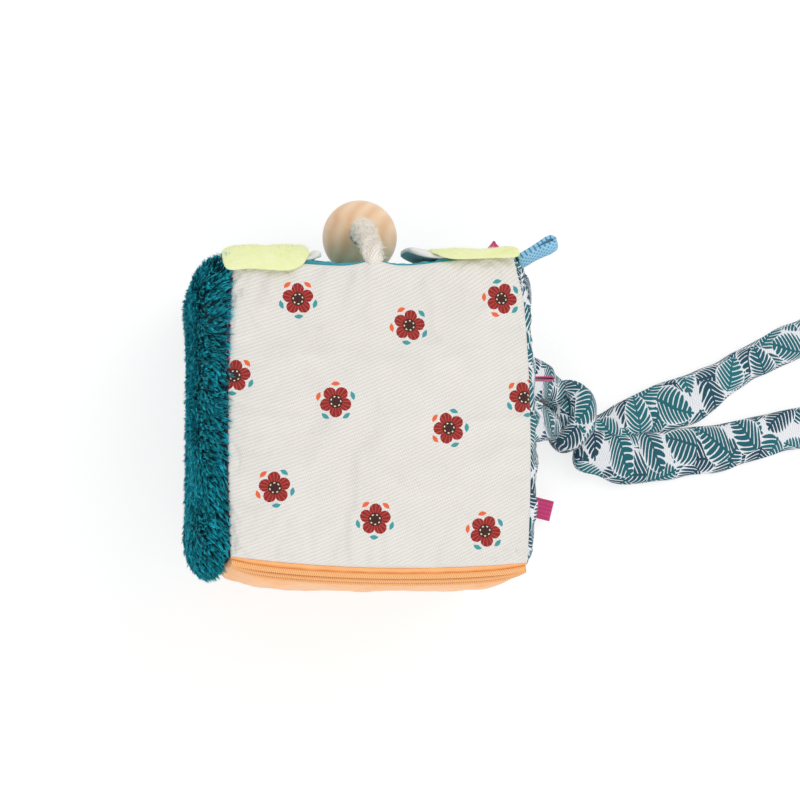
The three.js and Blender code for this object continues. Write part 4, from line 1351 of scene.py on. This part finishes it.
def build_bead():
    """Turned bead: a ball with a bore and softly broken edges."""
    steps = 64
    mouth = 0.0006
    rise_at = math.sqrt(BEAD_RADIUS**2 - (BEAD_BORE + mouth) ** 2)
    start = math.asin(rise_at / BEAD_RADIUS)
    angle = np.linspace(-start, start, 60)
    ball = np.stack([np.cos(angle) * BEAD_RADIUS, np.sin(angle) * BEAD_RADIUS], -1)
    broken = np.linspace(0, math.pi / 2, 7)[1:]
    upper = np.stack([BEAD_BORE + mouth * (1 - np.sin(broken)),
                      rise_at - mouth * (1 - np.cos(broken))], -1)
    bore = np.linspace(upper[-1, 1], -upper[-1, 1], 14)[1:-1]
    inside = np.stack([np.full(12, BEAD_BORE), bore], -1)
    profile = np.vstack([ball, upper, inside, upper[::-1] * [1, -1]])
    turn = round_steps(steps)
    out, up = profile[:, :1], profile[:, 1:]
    net = together(out * np.cos(turn), out * np.sin(turn), up)
    # the last row of faces joins the first row of points again
    face = net_faces(len(profile) + 1, steps, around=True) % (len(profile) * steps)
    bead = add_piece("turned_beech_bead", net + BEAD_PLACE, face[:, ::-1], turned_beech(), "bead")
    stands_for("wooden_bead")


# ------------------------------------------------------------------ flaps


def lining_low(_, out):
    """Height of the lining's lower face over the side: it curls up towards its tip."""
    past = np.maximum(0, out / FLAP_LENGTH - 0.8)
    return FLAP_CLEARANCE + LINING_CURL * (past / (0.2 + LINING_TIP / FLAP_LENGTH)) ** 2


def lining_top(ring, out):
    """Height of the lining's upper face: it is a little padded where its tip shows."""
    past = np.clip((out / FLAP_LENGTH - 0.94) / 0.08, 0, 1)
    puff = LINING_PUFF * past * np.sqrt(np.clip(1 - ring**4, 0.02, 1))
    return lining_low(ring, out) + LINING_WALL + puff


def pad_edge(ring, out):
    """Height of the pad's rounded edge, and how open the pad is from its edge, 0, to 1."""
    opened = np.sqrt(np.clip(1 - np.clip((ring - 0.86) / 0.14, 0, 1) ** 2, 0.02, 1))
    return lining_top(ring, out) + FLAP_LAYER_GAP + 0.0005 * (1 - opened), opened


def flap_face(side, length, inset, lift, rings, spokes):
    """Points of one face of a flap, and each ring's share of the way to its rim. inset is how
    far the rim lies inside the flap's edge. lift gives the height over the teal side."""
    angle = round_steps(spokes)
    narrow = 1 - 0.1 * np.maximum(0, np.cos(angle)) - 0.06 * np.cos(angle)
    ring = np.sin(math.pi / 2 * np.linspace(0.03, 1, rings))[:, None]
    # round rings about its middle, square ones with round corners towards its edge
    u = squared(np.cos(angle), 1 - 0.7 * ring**2)
    v = squared(np.sin(angle), 1 - 0.83 * ring**2) * narrow
    out = inset / 2 + (length - inset / 2) * (1 + u * ring) / 2
    x = side * (HALF[0] - FLAP_ROOT_INSET) - side * out
    centre = FRONT_SEAM_HEIGHT + FLAP_OVERHANG - FLAP_HEIGHT / 2
    height = centre + (FLAP_HEIGHT / 2 - inset) * v * ring
    under = teal_points(x, height)
    over = np.maximum(0, height - FRONT_SEAM_HEIGHT)
    nose = FLAP_NOSE * over / FLAP_OVERHANG
    y = under[..., 1] + lift(ring + 0 * out, out) - nose
    points = together(x, y, height)
    return points + local_pull(points), ring


def add_pad(name, side, top, base, material):
    """A closed pad between two discs of rings and spokes. It rides on no body."""
    rings, spokes = top.shape[:2]
    count = rings * spokes
    face = net_faces(rings, spokes, around=True)
    edge = np.arange(count - spokes, count)
    first = np.arange(spokes)[None, :]
    faces = [face, face[:, ::-1] + count, strip(edge, edge + count), first,
             first[:, ::-1] + count]
    # the right flap is the left one's mirror, so its faces are turned over
    faces = [f[:, ::-side] for f in faces]
    return add_piece(name, np.stack([top, base]), faces, material, None)


def build_flaps():
    look = colours()
    lime = brushed_cotton("polyester_velour_lime", look.lime, "#e8efa6", 0.0024)
    pile = fibre_finish("polyester_velour_pile_lime", look.lime, look.lime_tip)
    white = brushed_cotton("cotton_brushed_white", look.lining, "#dedfdd")
    rng = np.random.default_rng(23)
    # the left flap is fuller, is sewn on further out and dips over the plush corner: fullness,
    # shift outwards, sinking at its root, dip towards the front seam, and how far the lining
    # reaches past the pad
    for label, side, fullness, shift, sink, dip, tip in (
        ("left", -1, 0.0034, 0.0038, 0.0024, 0.5, 0.0045),
        ("right", 1, 0.0023, 0.0, 0.001, 0.04, 0.0072),
    ):

        def cover_top(ring, out):
            edge, opened = pad_edge(ring, out)
            return edge + (fullness - 0.0006 * ring**4) * opened

        def cover_low(ring, out):
            edge, opened = pad_edge(ring, out)
            return edge - 0.0012 * ring**10 * opened

        # nets of the pad's faces: rings from its middle to its rim, and spokes
        rings, spokes = 26, 110
        top, ring = flap_face(side, FLAP_LENGTH - shift / 2, 0, cover_top, rings, spokes)
        base, _ = flap_face(side, FLAP_LENGTH - shift / 2, 0, cover_low, rings, spokes)
        dents = soft_noise(top, 0.011, 60 + side) * 0.0005 * (1 - ring**3)
        edge_gathers = soft_noise(top, 0.005, 62 + side) * 0.00022 * ring**4
        top[..., 1] += dents + edge_gathers
        for face in (top, base):
            root = (HALF[0] + shift / 2 - np.abs(face[..., 0])) / 0.008
            face[..., 1] -= sink * np.exp(-(root**2))
            face[..., 1] -= np.maximum(0, face[..., 2] - FRONT_SEAM_HEIGHT + 0.003) * dip
            face[..., 0] -= shift
        pad = add_pad("lime_flap_pad_" + label, side, top, base, lime)
        stands_for("flap_" + label + "_cover")
        # short pile over the pad
        count = 9000
        normal = net_normals(top)
        if normal[..., 1].mean() < 0:
            normal = -normal
        # as many fibres to each patch of cloth, in the middle and at the rim
        inward = np.arcsin(np.sqrt(rng.uniform(0.004, 0.98, count))) * 2 / math.pi
        pick = (inward * (rings - 1)).astype(int) * spokes + rng.integers(0, spokes, count)
        here = top.reshape(-1, 3)[pick] + rng.normal(0, 0.0003, (count, 3)) * [1, 0, 1]
        out = normal.reshape(-1, 3)[pick]
        ways = rng.normal(0, 0.45, (count, 3))
        fuzz = fibres("lime_flap_pile_" + label, here - out * 0.0002, ways, out * 0.8,
                      sizes().fuzz_length * rng.uniform(0.5, 0.9, count), np.full(count, 0.00011),
                      rng.random(count), pile, None, segments=2, curl=0.2, seed=50 + side)
        top, base = (
            flap_face(side, FLAP_LENGTH + tip - shift / 2, LINING_INSET, height, 24, 90)[0]
            - [shift, 0, 0]
            for height in (lining_top, lining_low)
        )
        lining = add_pad("white_flap_lining_" + label, side, top, base, white)
        stands_for("flap_" + label + "_lining")
        # the sewn root stays on the block, and each piece's place is baked into its points
        y, z = block_points([side, 1, 0])[1], FRONT_SEAM_HEIGHT - 0.0235
        for piece in (pad, fuzz, lining):
            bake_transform(piece)


# ------------------------------------------------------------------ ribbons


def seam_matrix(s, yaw, pitch=0, roll=0, step=0.0):
    """Place of a ribbon held in a seam, turned about Z by yaw, then tipped and rolled."""
    turn = (
        Matrix.Rotation(math.radians(yaw), 4, "Z")
        @ Matrix.Rotation(math.radians(pitch), 4, "Y")
        @ Matrix.Rotation(math.radians(roll), 4, "X")
    )
    return Matrix.Translation(Vector(block_points(s))) @ turn @ Matrix.Translation((step, 0, 0))


def folded_ribbon(length, width, layer, slot, opening, wave, seed):
    """Net of a ribbon folded back at its tip, along X, with its layers apart in Y, and its map.
    opening gives how much of the slot is left between them along the way to the tip."""
    straight = length - slot / 2 - layer
    half_way = slot / 2 + layer / 2
    share = np.linspace(0, 1, 22)
    there = np.stack([straight * share, slot / 2 * opening(share) + layer / 2], -1)
    angle = np.linspace(math.pi / 2, -math.pi / 2, 12)[1:-1]
    tip = np.stack([straight + np.cos(angle) * half_way, np.sin(angle) * half_way], -1)
    line = np.vstack([there, tip, there[::-1] * [1, -1]])
    across = np.linspace(-width / 2, width / 2, 16)
    net = together(line[:, :1], line[:, 1:], across)
    ripple = soft_noise(net * [1, 0.2, 1], 0.006, seed) * wave
    net[..., 1] += ripple * (net[..., 0] / length)
    return net, paired(travelled(line)[:, None], across)


def build_ribbon(name, node, net, cloth, wall, matrix, material):
    """A ribbon of a wall's thickness, moved to its seam, that rides on its own body."""
    points, faces = cloth_slab(net, wall)
    points = points @ np.array(matrix.to_3x3()).T + np.array(matrix.translation)
    made = add_piece(name, points, faces, material, node, {"cloth": np.vstack([cloth, cloth])})
    stands_for(node)


def build_tags():
    pink = woven_ribbon()
    # the side tag is turned 14 degrees in its seam, so its middle stands further out of it
    turned_out = TAG_WIDTH * math.sin(math.radians(14)) / 2
    for name, length, matrix, seed in (
        ("side", 0.024, seam_matrix([1, -0.505, -1], -14, -3, 90, 0.0005 + turned_out), 71),
        ("middle", 0.009, seam_matrix([1, 0.325, 0.06], 2, 0, 0, 0.0005), 72),
    ):
        net, cloth = folded_ribbon(length, TAG_WIDTH, layer=0.0005, slot=0.0005,
                                   opening=np.ones_like, wave=0.0002, seed=seed)
        build_ribbon("pink_" + name + "_tag", "tag_" + name, net, cloth, TAG_WALL,
                     matrix, pink)
    # pointed tag: a ribbon folded to a point, two layers pressed together
    length = 0.0172
    along = np.linspace(0, length, 28)[:, None]
    share = np.linspace(-1, 1, 15)
    across = TAG_WIDTH / 2 * np.clip((length - along) / 0.0038, 0.02, 1) * share
    ripple = 0.00015 * np.sin(along * 500) * (1 - share**2)
    net = together(along, ripple, across)
    build_ribbon("pink_pointed_tag", "tag_pointed", net, paired(along, across),
                 0.0009, seam_matrix([1, 1, -0.62], 90, 0, -62, 0.001), pink)


def build_corner_loop():
    def opening(share):
        return 0.1 + 0.9 * np.clip((share - 0.4) / 0.45, 0, 1) ** 1.5

    width = 0.0056
    net, cloth = folded_ribbon(0.0162, width, layer=0.0013, slot=0.0019, opening=opening,
                               wave=0.00015, seed=73)
    # its tip is rounded and its edges turn in
    past = np.clip((net[..., 0] - 0.0115) / 0.0045, 0, 1)
    net[..., 2] *= 1 - 0.42 * past**2
    net[..., 1] *= 1 - 0.3 * (np.abs(net[..., 2]) / (width / 2)) ** 3
    inset = 1 - 0.008 / HALF[2]
    build_ribbon("blue_mesh_corner_loop", "corner_loop", net, cloth, 0.0013,
                 seam_matrix([1, 1, inset], 30, 0, -34, -0.0008), mesh_ribbon())


def finish_inside():
    """Filling and rattle keep the frame's shapes and get their real finishes."""
    for material, nodes in (
        (open_foam(), ("foam_core_upper", "foam_core_lower")),
        (moulded_polypropylene(), ("rattle_case_upper", "rattle_case_lower")),
        (turned_beech(), ("rattle_ball",)),
    ):
        for node in nodes:
            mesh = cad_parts[node].data
            mesh.materials.clear()
            mesh.materials.append(material)


# ------------------------------------------------------------------ add-on


class FABRICBLOCK_OT_stage(bpy.types.Operator):
    """Add the white table, the lamps and the camera"""

    bl_idname = "fabric_block.stage"
    bl_label = "Stage"

    def execute(self, context):
        build_stage()
        return {"FINISHED"}


class FABRICBLOCK_OT_strap(bpy.types.Operator):
    """Add the knotted carrying strap with its two sewn ends"""

    bl_idname = "fabric_block.strap"
    bl_label = "Carrying Strap"

    def execute(self, context):
        build_strap()
        return {"FINISHED"}


class FABRICBLOCK_OT_covers(bpy.types.Operator):
    """Add the six cloth covers of the block"""

    bl_idname = "fabric_block.covers"
    bl_label = "Covers"

    def execute(self, context):
        build_covers()
        return {"FINISHED"}


class FABRICBLOCK_OT_plush(bpy.types.Operator):
    """Add the long plush pile of the left side"""

    bl_idname = "fabric_block.plush"
    bl_label = "Plush Pile"

    def execute(self, context):
        build_plush()
        return {"FINISHED"}


class FABRICBLOCK_OT_seams(bpy.types.Operator):
    """Add the overlock threads along the plush seam"""

    bl_idname = "fabric_block.seams"
    bl_label = "Seam Threads"

    def execute(self, context):
        build_seams()
        return {"FINISHED"}


class FABRICBLOCK_OT_piping(bpy.types.Operator):
    """Add the three satin ribs"""

    bl_idname = "fabric_block.piping"
    bl_label = "Satin Ribs"

    def execute(self, context):
        build_piping()
        return {"FINISHED"}


class FABRICBLOCK_OT_rope(bpy.types.Operator):
    """Add the twisted rope and the wooden bead on it"""

    bl_idname = "fabric_block.rope"
    bl_label = "Rope and Bead"

    def execute(self, context):
        build_rope()
        build_bead()
        return {"FINISHED"}


class FABRICBLOCK_OT_flaps(bpy.types.Operator):
    """Add the two padded flaps with their linings"""

    bl_idname = "fabric_block.flaps"
    bl_label = "Flaps"

    def execute(self, context):
        build_flaps()
        return {"FINISHED"}


class FABRICBLOCK_OT_tags(bpy.types.Operator):
    """Add the three ribbon tags"""

    bl_idname = "fabric_block.tags"
    bl_label = "Ribbon Tags"

    def execute(self, context):
        build_tags()
        return {"FINISHED"}


class FABRICBLOCK_OT_corner_loop(bpy.types.Operator):
    """Add the mesh ribbon loop at the corner"""

    bl_idname = "fabric_block.corner_loop"
    bl_label = "Corner Loop"

    def execute(self, context):
        build_corner_loop()
        return {"FINISHED"}


class FABRICBLOCK_OT_inside(bpy.types.Operator):
    """Finish the filling and the rattle"""

    bl_idname = "fabric_block.inside"
    bl_label = "Filling and Rattle"

    def execute(self, context):
        finish_inside()
        return {"FINISHED"}


OPERATORS = (
    FABRICBLOCK_OT_stage,
    FABRICBLOCK_OT_strap,
    FABRICBLOCK_OT_covers,
    FABRICBLOCK_OT_plush,
    FABRICBLOCK_OT_seams,
    FABRICBLOCK_OT_piping,
    FABRICBLOCK_OT_rope,
    FABRICBLOCK_OT_flaps,
    FABRICBLOCK_OT_tags,
    FABRICBLOCK_OT_corner_loop,
    FABRICBLOCK_OT_inside,
)


class FABRICBLOCK_PT_panel(bpy.types.Panel):
    """Builds the block piece by piece"""

    bl_idname = "FABRICBLOCK_PT_panel"
    bl_label = "Soft Fabric Block"
    bl_space_type = "VIEW_3D"
    bl_region_type = "UI"
    bl_category = "Fabric Block"

    def draw(self, context):
        for operator in OPERATORS:
            self.layout.operator(operator.bl_idname)
        for group in (context.scene.fabric_block_sizes, context.scene.fabric_block_colours):
            column = self.layout.column()
            for name in group.bl_rna.properties.keys():
                if name not in {"rna_type", "name"}:
                    column.prop(group, name)


CLASSES = (BlockSizes, BlockColours, *OPERATORS, FABRICBLOCK_PT_panel)


def register():
    for item in CLASSES:
        bpy.utils.register_class(item)
    bpy.types.Scene.fabric_block_sizes = bpy.props.PointerProperty(type=BlockSizes)
    bpy.types.Scene.fabric_block_colours = bpy.props.PointerProperty(type=BlockColours)


def unregister():
    del bpy.types.Scene.fabric_block_colours
    del bpy.types.Scene.fabric_block_sizes
    for item in reversed(CLASSES):
        bpy.utils.unregister_class(item)


def main():
    register()
    for operator in OPERATORS:
        getattr(bpy.ops.fabric_block, operator.bl_idname.split(".")[1])()


if __name__ == "__main__":
    main()
